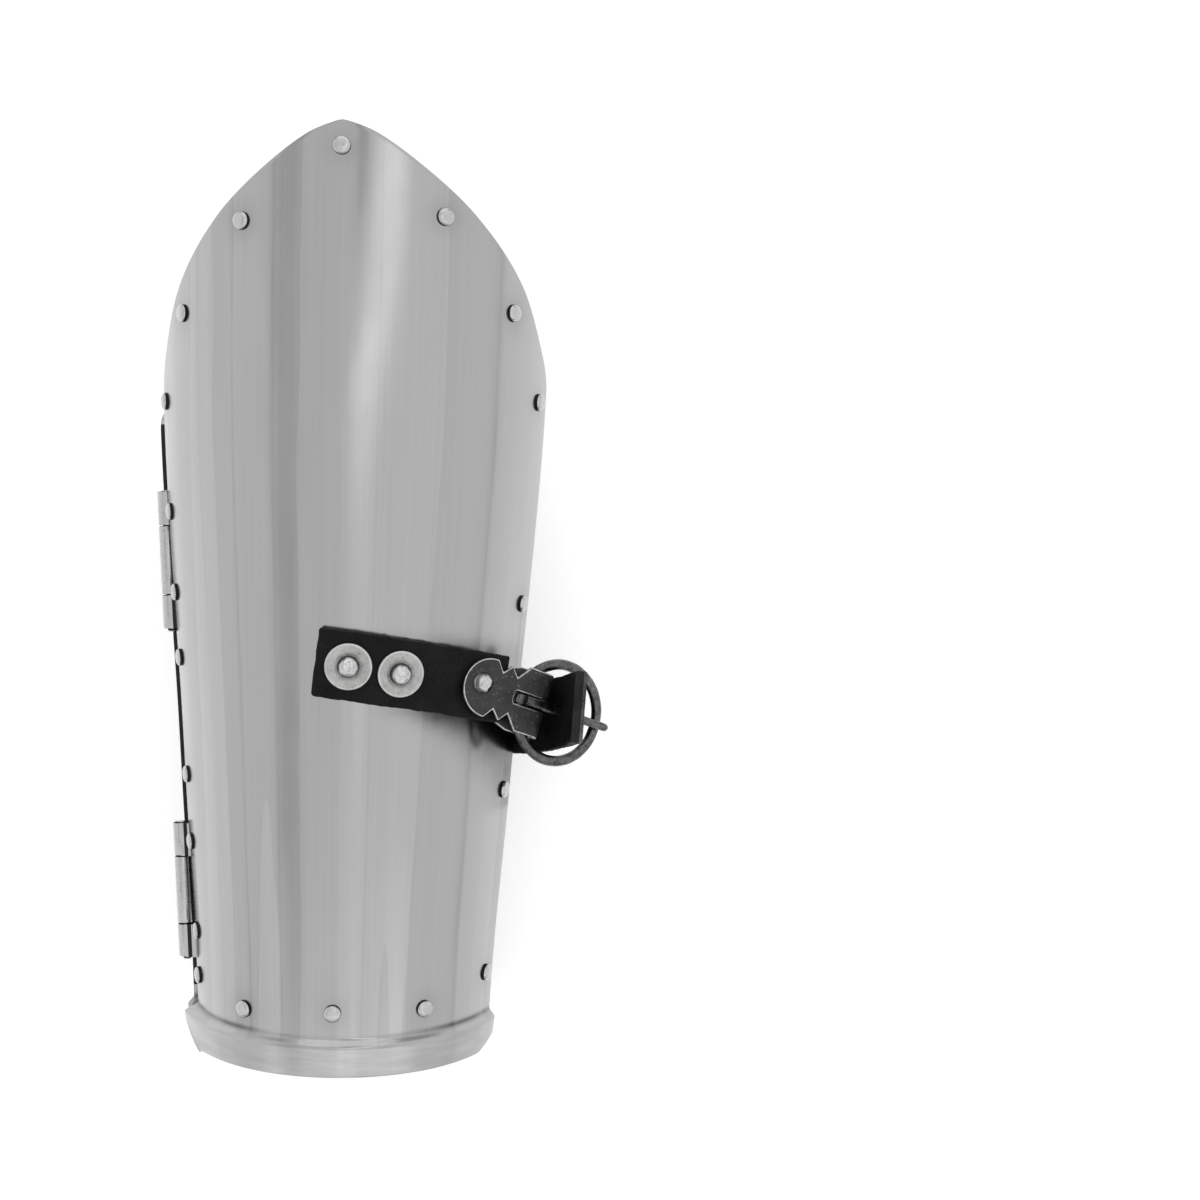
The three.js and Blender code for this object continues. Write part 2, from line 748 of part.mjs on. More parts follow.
// Ring, held in the fold and tipped down a little more than the buckle plate
const ringFrame = strapFrame(degrees(ring.slope), degrees(chape.slant), degrees(strap.endTilt));
const ringCentre = chapeRoot.clone()
  .addScaledVector(chapeFrame.along, ring.pivot)
  .addScaledVector(ringFrame.along, ring.centre);
const wireSection = [];
for (let i = 0; i <= ring.sides; i += 1) {
  const angle = i / ring.sides * 2 * Math.PI;
  wireSection.push([ring.centreline + ring.wire * Math.cos(angle), ring.wire * Math.sin(angle)]);
}
wireSection[ring.sides] = wireSection[0];
addMesh('buckle_ring', turned(wireSection, ring.turns, ringCentre, ringFrame.normal), 'blackened');

// Prong: a closed loop round the ring in the slot, and an arm that lies over the ring's far side
const loopInner = ring.wire + prong.loopGap;
const loopOuter = loopInner + prong.thick;
const loopSection = [
  [loopInner, -prong.half],
  [loopOuter, -prong.half],
  [loopOuter, prong.half],
  [loopInner, prong.half],
  [loopInner, -prong.half],
];
const loopCentre = new THREE.Vector3(-ring.centreline, 0, 0);
const prongLoop = turned(loopSection, prong.loopSides, loopCentre, new THREE.Vector3(0, 1, 0));
const armStart = new THREE.Vector3(-ring.centreline, 0, prong.rootHeight);
const armEnd = new THREE.Vector3(ring.centreline + ring.wire + prong.past, 0, prong.tipHeight);
const armDirection = armEnd.clone().sub(armStart);
const armLength = armDirection.length();
const armProfile = [
  [0, 0],
  [prong.half, 0],
  [prong.half, armLength - prong.tipLength],
  [prong.half * prong.tipShare, armLength - prong.tipEnd],
  [0, armLength],
];
const prongArm = turned(armProfile, prong.sides, armStart, armDirection.normalize());
const prongSolid = toGeometry(joinAll([prongLoop, prongArm]));
addMesh('buckle_prong', placed(prongSolid, ringFrame, ringCentre), 'blackened');

// Billet: lies on the back plate, comes up past the plates' edges and stands through the ring

const billetMiddle = leather / 2 + billet.lift;
const billetPoints = [];
const billetArmward = [];
for (const { across, y } of billetOnPlate) {
  billetPoints.push(backPoint(across, y, billetMiddle));
  billetArmward.push(backPoint(across, y + 1, 0).sub(backPoint(across, y, 0)));
}
billetFree.forEach(({ x, y, z }, i) => {
  billetPoints.push(new THREE.Vector3(x, y, z));
  billetArmward.push(new THREE.Vector3(billet.endLean * i / (billetFree.length - 1), 1, 0));
});
const billetPath = new THREE.CatmullRomCurve3(billetPoints);
const armwardPath = new THREE.CatmullRomCurve3(billetArmward);
const billetStations = [];
for (let i = 0; i <= billet.steps; i += 1) {
  const at = i / billet.steps;
  const along = billetPath.getTangent(at);
  const across = armwardPath.getPoint(at);
  across.addScaledVector(along, -across.dot(along)).normalize();
  billetStations.push({ centre: billetPath.getPoint(at), across, normal: along.clone().cross(across) });
}
const billetHoles = [];
billetRivetPlaces.forEach(({ across, y }, i) => {
  const top = backPoint(across, y, billet.lift + leather);
  fastenLeather('billet', i + 1, top, backNormal(across, y), billet.lift, billetHoles, holes.back);
});
const prongHoleBase = armStart.clone().applyMatrix4(
  new THREE.Matrix4().makeBasis(ringFrame.along, ringFrame.across, ringFrame.normal).setPosition(ringCentre),
);
billetHoles.push(peg(billet.holeHalf, billet.holeSides, prongHoleBase, ringFrame.along, 0, armLength));
addMesh('billet', cutAll(band(billetStations, billet.width, leather), billetHoles), 'leather');

// Front plate
const frontRows = wristRows(elbow.shoulder, plateGrid.frontStep);
const frontRowCount = frontRows.length + plateGrid.elbowSteps - 1;

function frontGrid(share, row, lift) {
  const across = 2 * share - 1;
  if (row < frontRows.length) {
    const y = frontRows[row];
    const halfRound = frontRadius(y) * edgeAngle;
    const flare = 1 + rimFlare * Math.max(-across, 0) ** 4;
    return frontPoint(halfRound * cornerShare(across, y, halfRound), y, lift + rimLift(y) * flare);
  }
  const rise = (row - frontRows.length + 1) / plateGrid.elbowSteps;
  const base = frontRows.at(-1);
  const outline = readTable(elbowOutline, 'round', 'y', Math.abs(across) * elbow.halfRound);
  const y = THREE.MathUtils.lerp(base, outline + elbow.lean * across, rise);
  return frontPoint(across * frontRadius(y) * edgeAngle, y, lift);
}

const frontWall = wall(
  plateGrid.frontColumns, frontRowCount,
  (share, row) => frontGrid(share, row, 0),
  (share, row) => frontGrid(share, row, -steel),
);
addMesh('front_plate', cutAll(frontWall, holes.front), 'steel');

// Back plate
const backShoulder = back.top - back.corner;
const backRows = [
  ...wristRows(backShoulder, plateGrid.backStep),
  backShoulder,
  back.top - backCornerRow,
  back.top,
];

function backGrid(share, row, lift) {
  const y = backRows[row];
  const cut = Math.max(y - backShoulder, 0) / back.corner;
  const round = back.corner * (1 - Math.sqrt(1 - cut * cut)) / backRound;
  const across = cornerShare(2 * share - 1, y, backRound) * (1 - round);
  return backPoint(across, y, lift + rimLift(y));
}

const backWall = wall(
  plateGrid.backColumns, backRows.length - 1,
  (share, row) => backGrid(share, row, 0),
  (share, row) => backGrid(share, row, -steel),
);
addMesh('back_plate', cutAll(backWall, holes.back), 'steel');

// Laid on its back: pitched so that the foot rivets and the rim's crest share the plane z = 0
const part = new THREE.Group();
part.add(bracer);
bracer.rotation.x = pitch;
part.updateMatrixWorld(true);
const box = new THREE.Box3().setFromObject(part, true);
const middle = box.getCenter(new THREE.Vector3());
bracer.position.set(-middle.x, -middle.y, -box.min.z);

export default part;
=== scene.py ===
import bpy
import bmesh
import math
from mathutils import Matrix, Vector, noise


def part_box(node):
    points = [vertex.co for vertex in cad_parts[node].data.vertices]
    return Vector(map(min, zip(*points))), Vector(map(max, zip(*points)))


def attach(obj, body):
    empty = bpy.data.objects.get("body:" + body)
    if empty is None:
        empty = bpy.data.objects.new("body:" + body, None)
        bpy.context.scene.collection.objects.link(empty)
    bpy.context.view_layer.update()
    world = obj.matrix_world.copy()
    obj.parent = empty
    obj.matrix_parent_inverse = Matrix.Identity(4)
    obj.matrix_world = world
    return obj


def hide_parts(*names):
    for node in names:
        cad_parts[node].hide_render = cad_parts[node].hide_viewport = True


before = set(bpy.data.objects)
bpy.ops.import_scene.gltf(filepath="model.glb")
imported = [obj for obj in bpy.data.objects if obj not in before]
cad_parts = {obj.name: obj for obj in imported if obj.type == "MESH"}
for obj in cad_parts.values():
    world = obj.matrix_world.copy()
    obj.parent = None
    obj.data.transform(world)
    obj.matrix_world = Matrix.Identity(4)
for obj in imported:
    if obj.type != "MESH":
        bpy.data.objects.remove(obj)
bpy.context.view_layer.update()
scene = bpy.context.scene
print("frame:", len(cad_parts), "nodes")

# The bracer is shaped in millimetres in its arm frame, then laid down where the frame lies:
# y runs up the arm from the wrist, x towards the buckle, the front plate's long edges are at z = 0.
mm = 0.001
armShape = {
    "steel": 1.2, "rivetInset": 5.2,
    "edgeAngle": math.radians(74),
    "taper": [(0, 41.5), (30, 43.0), (65, 45.6), (100, 48.0),   # up the arm, half width
              (140, 51.2), (175, 53.5), (205, 54.4), (256, 54.8)],
    "groove": 10.9, "crest": 8.2, "rimLift": 1.8, "lipLift": 1.2,
    "rimFlare": 1.2,      # how much more the front rim stands out at the hinge corner
    "hingeCorner": (5.5, 10.5), "buckleCorner": (3.4, 8.5),     # cut off: up the arm, along the end
}
backShape = {"top": 181, "corner": 6, "seam": 6, "shift": -2.4, "depthShare": 0.72,
             "flatHalf": 18, "flatShare": 0.3, "halfRound": 53}


def blendSmooth(low, high, value):
    share = min(max((value - low) / (high - low), 0), 1)
    return share * share * (3 - 2 * share)


def mix(a, b, share):
    return a + (b - a) * share


def readCurve(rows, place):         # smooth curve through rows of (place, value)
    place = min(max(place, rows[0][0]), rows[-1][0])
    i = 0
    while i < len(rows) - 2 and rows[i + 1][0] < place:
        i += 1

    def slope(j):
        before = rows[max(j - 1, 0)]
        after = rows[min(j + 1, len(rows) - 1)]
        return (after[1] - before[1]) / (after[0] - before[0])

    span = rows[i + 1][0] - rows[i][0]
    t = (place - rows[i][0]) / span
    bend = t * t * (3 - 2 * t)
    leave = t * (1 - t) ** 2 * span * slope(i)
    arrive = t * t * (t - 1) * span * slope(i + 1)
    return mix(rows[i][1], rows[i + 1][1], bend) + leave + arrive


def halfWidth(y):
    return readCurve(armShape["taper"], y)


def frontRadius(y):
    return halfWidth(y) / math.sin(armShape["edgeAngle"])


def frontPoint(around, y, lift=0.0):        # around: distance from the plate's middle line
    radius = frontRadius(y)
    angle = around / radius
    reach = radius + lift
    drop = radius * math.cos(armShape["edgeAngle"])
    return Vector((reach * math.sin(angle), y, reach * math.cos(angle) - drop))


def backPoint(across, y, lift=0.0):         # across: -1 at the hinge edge, 1 at the buckle edge
    s = backShape
    half = halfWidth(y)
    depth = s["depthShare"] * half
    side = math.copysign(1, across)
    bend = max(abs(across) - s["flatShare"], 0) / (1 - s["flatShare"]) * math.pi / 2
    inFlat = min(abs(across) / s["flatShare"], 1) * s["flatHalf"]
    reach = half - s["flatHalf"]
    normal = Vector((side * math.sin(bend) / reach, -math.cos(bend) / depth)).normalized()
    x = s["shift"] + side * (inFlat + reach * math.sin(bend))
    return Vector((x + normal.x * lift, y, -s["seam"] - depth * math.cos(bend) + normal.y * lift))


def outward(surface, place, y, step):
    sideways = surface(place + step, y) - surface(place - step, y)
    along = surface(place, y + 1) - surface(place, y - 1)
    normal = sideways.cross(along).normalized()
    return normal if normal.dot(surface(place, y, 1) - surface(place, y)) > 0 else -normal


def frontNormal(around, y):
    return outward(frontPoint, around, y, 0.5)


def backNormal(across, y):
    return outward(backPoint, across, y, 0.01)


def rimLift(y):
    s = armShape
    if y >= s["groove"]:
        return 0
    if y > s["crest"]:
        return s["rimLift"] * blendSmooth(0, s["groove"] - s["crest"], s["groove"] - y)
    return mix(s["lipLift"], s["rimLift"], y / s["crest"])


def cornerShare(across, y, halfRound):      # the wrist corners are cut off
    up, along = armShape["hingeCorner"] if across < 0 else armShape["buckleCorner"]
    cut = max(1 - y / up, 0) * along / halfRound
    return across * (1 - cut * across ** 4)


def frontHalf(y):                   # round the front plate from its middle line to an edge
    return frontRadius(y) * armShape["edgeAngle"]


def edgeAround(y):                  # where rivets run along the front plate's edges
    return frontHalf(y) - armShape["rivetInset"]


# Laying it down: the foot rivets and the back rim's crest share the floor
hinge = {
    "places": {"elbow": {"middle": 138, "rivets": (129.4, 152)},
               "wrist": {"middle": 43, "rivets": (32.8, 58.6)}},
    "length": 39, "barrel": 2.3, "bore": 1.45, "edge": 0.35, "edgeEase": 0.3, "sides": 40,
    "pin": 1.1, "pinEnd": 1, "pinHead": 0.3, "pinRound": (0.3, 0.2),
    "endKnuckle": 9.8, "knuckleGap": 0.3, "leaf": 1, "leafClear": 0.5, "leafReach": 11,
    "leafShare": 0.19, "leafLip": 1.4, "leafColumns": 14, "leafRows": 20, "webRows": 2,
    "axisDrop": 3, "axisAtWrist": 44.46, "axisSpread": 0.0589,
    # dark...: how far the knuckle ends, plate sides, webs and pin get painted shade
    "darkEnd": 0.9, "darkSide": 0.85, "darkPast": 0.9, "darkWide": 1.1,
}
foot = {"y": 174, "across": (-0.22, 0, 0.22), "rise": 1.4}


def axisPoint(y):
    return Vector((-(hinge["axisAtWrist"] + hinge["axisSpread"] * y), y, -hinge["axisDrop"]))


footDepth = -backPoint(0, foot["y"], foot["rise"]).z
crestDepth = -backPoint(0, armShape["crest"], armShape["rimLift"]).z
pitch = math.atan2(footDepth - crestDepth, foot["y"] - armShape["crest"])
tableNormal = Vector((0, -math.sin(pitch), -math.cos(pitch)))
tipped = Matrix.Rotation(pitch, 4, "X") @ Matrix.Scale(mm, 4)
pinLow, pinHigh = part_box("hinge_wrist_pin")
pinMiddle = hinge["places"]["wrist"]["middle"] + (hinge["pinHead"] - hinge["pinEnd"]) / 2
toWorld = Matrix.Translation((pinLow + pinHigh) / 2 - tipped @ axisPoint(pinMiddle)) @ tipped
print("laid down, pitch", round(math.degrees(pitch), 3))


# Node helpers

def addNode(tree, kind, values=None, **settings):
    node = tree.nodes.new(kind)
    for key, value in settings.items():
        setattr(node, key, value)
    for key, value in (values or {}).items():
        if isinstance(value, bpy.types.NodeSocket):
            tree.links.new(value, node.inputs[key])
        else:
            node.inputs[key].default_value = value
    return node


def addMath(tree, operation, a, b=0.0):
    return addNode(tree, "ShaderNodeMath", {0: a, 1: b}, operation=operation).outputs[0]


def plus(tree, a, b):
    return addMath(tree, "ADD", a, b)


def minus(tree, a, b):
    return addMath(tree, "SUBTRACT", a, b)


def times(tree, a, b):
    return addMath(tree, "MULTIPLY", a, b)


def addNoise(tree, vector, stretch, detail=3.0, rough=0.5):     # stretch: changes along each axis
    placed = addNode(tree, "ShaderNodeMapping", {"Vector": vector, "Scale": stretch})
    values = {"Vector": placed.outputs[0], "Scale": 1.0, "Detail": detail, "Roughness": rough}
    return addNode(tree, "ShaderNodeTexNoise", values).outputs["Fac"]


def addRange(tree, value, low, high, toLow=0.0, toHigh=1.0):
    values = {"Value": value, "From Min": low, "From Max": high, "To Min": toLow, "To Max": toHigh}
    return addNode(tree, "ShaderNodeMapRange", values, interpolation_type="SMOOTHSTEP").outputs[0]


def addTint(tree, share, dark, light):
    values = {0: share, 6: (*dark, 1), 7: (*light, 1)}      # the node's factor and its two colours
    return addNode(tree, "ShaderNodeMix", values, data_type="RGBA").outputs[2]


def feed(node, socket, value):
    node.id_data.links.new(value, node.inputs[socket])


def startGroup(name, inputs, outputs):
    group = bpy.data.node_groups.new(name, "ShaderNodeTree")
    for socket, kind in inputs:
        group.interface.new_socket(socket, in_out="INPUT", socket_type=kind)
    for socket in outputs:
        group.interface.new_socket(socket, in_out="OUTPUT", socket_type="NodeSocketFloat")
    return group, group.nodes.new("NodeGroupInput"), group.nodes.new("NodeGroupOutput")


def startMaterial(name, metallic, coordinates):
    material = bpy.data.materials.new(name)
    material.use_nodes = True
    tree = material.node_tree
    shader = tree.nodes["Principled BSDF"]
    shader.inputs["Metallic"].default_value = metallic
    place = addNode(tree, "ShaderNodeTexCoord").outputs[coordinates]
    return material, tree, shader, place


def addBump(tree, shader, height, strength, distance):
    values = {"Height": height, "Strength": strength, "Distance": distance * mm}
    feed(shader, "Normal", addNode(tree, "ShaderNodeBump", values).outputs[0])


markSpan = 100              # millimetres to one unit of the plates' mark map
noiseSpan = (0.3, 0.7)      # nearly all noise lies between these
streaks = {                 # changes round and along the mark map
    "drift": (1.2, 1.1, 1), "driftBy": 0.05, "band": (7, 0.2, 1), "ledge": (4.5, 0.09, 1), "ledges": 4.0,
    "coarse": (70, 0.5, 1), "fine": (260, 2.4, 1), "cloud": (3.4, 2.2, 1),
}
rubbed = {                  # changes in a metre
    "blotch": (420, 420, 420), "scratch": (2600, 700, 1500), "pit": (1500, 1500, 1500),
    "pitFrom": 0.62, "pitFull": 0.72,
}


def makeStreaks():
    # Long marks up the arm: broad bands, bands with one hard edge, fine rubbed lines
    s = streaks
    group, into, out = startGroup("armStreaks", [("Vector", "NodeSocketVector")],
                                  ["Band", "Ledge", "Line", "Cloud"])
    vector = into.outputs["Vector"]
    drift = times(group, addNoise(group, vector, s["drift"], 2.0), s["driftBy"])
    aside = addNode(group, "ShaderNodeCombineXYZ", {"X": drift}).outputs[0]
    shifted = addNode(group, "ShaderNodeVectorMath", {0: vector, 1: aside}).outputs[0]
    feed(out, "Band", addNoise(group, shifted, s["band"], 2.0))
    ledges = times(group, addNoise(group, shifted, s["ledge"], 1.0), s["ledges"])
    feed(out, "Ledge", addMath(group, "FRACT", ledges))
    coarse = addNoise(group, vector, s["coarse"], 2.0)
    fine = addNoise(group, vector, s["fine"], 3.0, 0.6)
    feed(out, "Line", times(group, plus(group, coarse, fine), 0.5))
    feed(out, "Cloud", addNoise(group, vector, s["cloud"], 4.0))
    return group


def makeRubbed():
    # Small worn steel: soft blotches, fine scratches, dark pits
    inputs = [("Vector", "NodeSocketVector"), ("Scale", "NodeSocketFloat")]
    group, into, out = startGroup("rubbedSteel", inputs, ["Blotch", "Scratch", "Pit"])
    values = {0: into.outputs["Vector"], 3: into.outputs["Scale"]}
    scaled = addNode(group, "ShaderNodeVectorMath", values, operation="SCALE").outputs[0]
    feed(out, "Blotch", addNoise(group, scaled, rubbed["blotch"], 4.0, 0.6))
    feed(out, "Scratch", addNoise(group, scaled, rubbed["scratch"], 3.0, 0.65))
    pit = addNoise(group, scaled, rubbed["pit"], 2.0)
    feed(out, "Pit", addRange(group, pit, rubbed["pitFrom"], rubbed["pitFull"]))
    return group


streakGroup = makeStreaks()
rubbedGroup = makeRubbed()

plateFinish = {
    "dark": (0.06, 0.06, 0.062), "light": (0.714, 0.714, 0.724), "tone": 0.55,
    "band": 0.085, "ledge": 0.055, "line": 0.11, "grime": 0.6, "patches": (0.3, 0.6), "patchLeast": 0.35,
    "rough": (0.14, 0.25), "lineRough": 0.05, "bump": 0.25, "bumpDepth": 0.03,
    "rimTop": 9.5, "rimBlend": 1, "rimClean": 0.75, "smudge": 0.3, "smudges": (5, 45, 1),
    "sway": 0.012, "sways": (0, 1.6, 1), "breaks": (3, 1.8, 1), "broken": (0.3, 0.65), "rayLeast": 0.35,
    "rays": [(-39, 0.7, 0.045), (-27, 0.8, 0.08), (-15.8, 1.0, 0.09),       # round, half width, depth
             (9.5, 0.7, 0.035), (24, 0.6, 0.03), (41, 1.6, 0.06)],
}
rubbedFinish = {"tone": 0.6, "roughLess": 0.05, "roughMore": 0.06, "bump": 0.2, "bumpDepth": 0.03}
blackFinish = {
    "dark": (0.018, 0.018, 0.019), "light": (0.2, 0.2, 0.2), "metal": 0.85, "scale": 0.8, "blotch": 0.35,
    "speck": 0.55, "specks": (900, 900, 900), "speckFrom": 0.56, "speckFull": 0.7,
    "rough": (0.38, 0.55), "bump": 0.35, "bumpDepth": 0.12,
}
leatherFinish = {
    "creaseWide": 0.22, "crease": 0.6, "fibres": 1.7, "fibre": 0.45, "clouds": 120, "cloud": 0.55,
    "tones": (0.35, 0.68), "rough": (0.5, 0.68), "specular": 0.14, "bumpDepth": 0.12,
}


def makePlateSteel():
    finish = plateFinish
    material, tree, shader, place = startMaterial("plateSteel", 1.0, "UV")
    marks = addNode(tree, "ShaderNodeGroup", {"Vector": place}, node_tree=streakGroup).outputs
    parts = addNode(tree, "ShaderNodeSeparateXYZ", {0: place}).outputs
    rimTop = finish["rimTop"] / markSpan
    inRim = addRange(tree, parts["Y"], rimTop, rimTop - finish["rimBlend"] / markSpan)
    onArm = minus(tree, 1.0, times(tree, inRim, finish["rimClean"]))
    swings = 0.0
    for mark in ("band", "ledge", "line"):
        swing = minus(tree, marks[mark.capitalize()], 0.5)
        swings = plus(tree, swings, times(tree, swing, finish[mark]))
    sway = minus(tree, addNoise(tree, place, finish["sways"]), 0.5)
    swayed = plus(tree, parts["X"], times(tree, sway, finish["sway"]))
    breaks = addNoise(tree, place, finish["breaks"], 3.0, 0.6)
    strength = addRange(tree, breaks, *finish["broken"], finish["rayLeast"])
    for around, half, depth in finish["rays"]:
        away = addMath(tree, "ABSOLUTE", minus(tree, swayed, around / markSpan))
        ray = times(tree, addRange(tree, away, half / markSpan, 0, 0, depth), strength)
        swings = minus(tree, swings, ray)
    tone = plus(tree, times(tree, swings, onArm), finish["tone"])
    smudge = minus(tree, addNoise(tree, place, finish["smudges"], 4.0, 0.6), 0.5)
    tone = plus(tree, tone, times(tree, times(tree, smudge, inRim), finish["smudge"]))
    # real grime, and the painted shadow and reflection beside the strap, darken the colour
    grime = addNode(tree, "ShaderNodeAttribute", attribute_name="grime").outputs["Fac"]
    patchy = times(tree, grime, addRange(tree, marks["Cloud"], *finish["patches"], finish["patchLeast"]))
    tone = minus(tree, tone, times(tree, patchy, finish["grime"]))
    feed(shader, "Base Color", addTint(tree, tone, finish["dark"], finish["light"]))
    rough = addRange(tree, marks["Cloud"], *noiseSpan, *finish["rough"])
    feed(shader, "Roughness", plus(tree, rough, times(tree, marks["Line"], finish["lineRough"])))
    addBump(tree, shader, marks["Line"], finish["bump"], finish["bumpDepth"])
    return material


def makeRubbedSteel(name, dark, light, rough, blotch=0.5, scratch=0.4, pit=0.2, grime=0.0):
    finish = rubbedFinish
    material, tree, shader, place = startMaterial(name, 1.0, "Object")
    values = {"Vector": place, "Scale": 1.0}
    marks = addNode(tree, "ShaderNodeGroup", values, node_tree=rubbedGroup).outputs
    tone = finish["tone"]
    for mark, share in (("Blotch", blotch), ("Scratch", scratch)):
        tone = plus(tree, tone, times(tree, minus(tree, marks[mark], 0.5), share))
    tone = minus(tree, tone, times(tree, marks["Pit"], pit))
    # painted shade, and painted highlight where the mask is negative, from a per-vertex attribute
    if grime:
        paintedLight = addNode(tree, "ShaderNodeAttribute", attribute_name="grime").outputs["Fac"]
        tone = minus(tree, tone, times(tree, paintedLight, grime))
    feed(shader, "Base Color", addTint(tree, tone, dark, light))
    ends = rough - finish["roughLess"], rough + finish["roughMore"]
    feed(shader, "Roughness", addRange(tree, marks["Blotch"], *noiseSpan, *ends))
    addBump(tree, shader, marks["Scratch"], finish["bump"], finish["bumpDepth"])
    return material


def makeBlackened():
    finish = blackFinish
    material, tree, shader, place = startMaterial("blackenedSteel", finish["metal"], "Object")
    values = {"Vector": place, "Scale": finish["scale"]}
    blotch = addNode(tree, "ShaderNodeGroup", values, node_tree=rubbedGroup).outputs["Blotch"]
    speck = addNoise(tree, place, finish["specks"], 5.0, 0.7)
    speck = addRange(tree, speck, finish["speckFrom"], finish["speckFull"])
    tone = plus(tree, times(tree, blotch, finish["blotch"]), times(tree, speck, finish["speck"]))
    feed(shader, "Base Color", addTint(tree, tone, finish["dark"], finish["light"]))
    feed(shader, "Roughness", addRange(tree, blotch, *noiseSpan, *finish["rough"]))
    addBump(tree, shader, blotch, finish["bump"], finish["bumpDepth"])
    return material


def makeLeather(name, dark, light, grain, bump):
    finish = leatherFinish
    material, tree, shader, place = startMaterial(name, 0.0, "Object")
    values = {"Vector": place, "Scale": grain}
    cells = addNode(tree, "ShaderNodeTexVoronoi", values, feature="DISTANCE_TO_EDGE").outputs["Distance"]
    crease = addRange(tree, cells, 0.0, finish["creaseWide"])
    fibre = addNoise(tree, place, [grain * finish["fibres"]] * 3, 4.0, 0.65)
    cloud = addNoise(tree, place, [finish["clouds"]] * 3)
    tone = plus(tree, times(tree, fibre, finish["fibre"]), times(tree, cloud, finish["cloud"]))
    feed(shader, "Base Color", addTint(tree, addRange(tree, tone, *finish["tones"]), dark, light))
    feed(shader, "Roughness", addRange(tree, cloud, *noiseSpan, *finish["rough"]))
    shader.inputs["Specular IOR Level"].default_value = finish["specular"]
    height = plus(tree, times(tree, crease, finish["crease"]), fibre)
    addBump(tree, shader, height, bump, finish["bumpDepth"])
    return material


plateSteel = makePlateSteel()
rivetSteel = makeRubbedSteel("rivetSteel", (0.3, 0.3, 0.305), (0.66, 0.66, 0.67), rough=0.25)
# dome heads carry a painted shade ring
domeSteel = makeRubbedSteel("domeSteel", (0.12, 0.12, 0.12), (0.85, 0.85, 0.85), rough=0.2,
                            blotch=0.7, scratch=0.5, pit=0.3, grime=0.9)
# near-black steel for painted shade: rivet creases, the back plate's seam edges, hinge gaps and ends
paintedShadeSteel = makeRubbedSteel("paintedShadeSteel", (0.008, 0.008, 0.008), (0.05, 0.05, 0.05), rough=0.55)
# washers carry a painted shade ring round the rivet and a painted highlight on the rim
washerSteel = makeRubbedSteel("washerSteel", (0.13, 0.13, 0.127), (0.6, 0.6, 0.59), rough=0.36,
                              blotch=0.7, scratch=0.6, pit=0.3, grime=0.42)
hingeSteel = makeRubbedSteel("hingeSteel", (0.25, 0.25, 0.255), (0.66, 0.66, 0.67), rough=0.27,
                             blotch=0.35, scratch=0.35, pit=0.3)
ringSteel = makeRubbedSteel("ringSteel", (0.008, 0.008, 0.008), (0.2, 0.2, 0.196), rough=0.26,
                            blotch=1.3, scratch=1.1, pit=0.4)
wornEdge = makeRubbedSteel("wornEdge", (0.08, 0.08, 0.08), (0.75, 0.75, 0.74), rough=0.3,
                           blotch=1.2, scratch=0.6, pit=0.3)
blackenedSteel = makeBlackened()
blackLeather = makeLeather("blackLeather", (0.0006, 0.0006, 0.0008), (0.0105, 0.0101, 0.0109),
                           grain=900.0, bump=0.35)
cutLeather = makeLeather("cutLeather", (0.005, 0.005, 0.005), (0.035, 0.034, 0.034), grain=1500.0, bump=0.7)
paleLeather = makeLeather("paleLeather", (0.02, 0.02, 0.02), (0.16, 0.158, 0.155), grain=1500.0, bump=0.7)
print("materials:", len(bpy.data.materials))


# Piece helpers

def pieceName(node):
    first, *rest = node.split("_")
    return first + "".join(word.capitalize() for word in rest)


def addPiece(node, bm, materials, smoothUnder=35):
    bm.transform(toWorld)
    mesh = bpy.data.meshes.new(pieceName(node))
    bm.to_mesh(mesh)
    bm.free()
    for material in materials:
        mesh.materials.append(material)
    mesh.polygons.foreach_set("use_smooth", [True] * len(mesh.polygons))
    mesh.set_sharp_from_angle(angle=math.radians(smoothUnder))
    piece = bpy.data.objects.new(pieceName(node), mesh)
    scene.collection.objects.link(piece)
    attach(piece, "root")
    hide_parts(node)
    return piece


def takeIn(bm, other):
    mesh = bpy.data.meshes.new("takenIn")
    other.to_mesh(mesh)
    other.free()
    bm.from_mesh(mesh)
    bpy.data.meshes.remove(mesh)


def layWall(columns, rows, shape, thick, flip=False):
    bm = bmesh.new()
    bmesh.ops.create_grid(bm, x_segments=columns, y_segments=rows, size=1)
    layers = [bm.verts.layers.float.new(name) for name in ("around", "along", "grime")]
    for vert in bm.verts:           # shape gives a point, its place in the mark map and its grime and painted shade
        vert.co, *marks = shape(vert.co.x, (vert.co.y + 1) / 2)
        for layer, mark in zip(layers, marks):
            vert[layer] = mark
    if flip:
        bmesh.ops.reverse_faces(bm, faces=bm.faces[:])
    bm.normal_update()
    bmesh.ops.solidify(bm, geom=bm.faces[:], thickness=thick)
    surface = bm.loops.layers.uv.new("surface")
    for face in bm.faces:
        for loop in face.loops:
            loop[surface].uv = (loop.vert[layers[0]] / markSpan, loop.vert[layers[1]] / markSpan)
    return bm


def roundEdges(bm, width, steps, over=50):
    least = math.radians(over)
    sharp = [edge for edge in bm.edges if edge.is_manifold and edge.calc_face_angle() > least]
    made = bmesh.ops.bevel(bm, geom=sharp, offset=width, offset_type="OFFSET", segments=steps,
                           profile=0.5, affect="EDGES", material=-1, clamp_overlap=True)
    return made["faces"]


def markFaces(bm, index, isMarked):         # isMarked is asked about a face and its middle
    for face in bm.faces:
        if isMarked(face, face.calc_center_median()):
            face.material_index = index


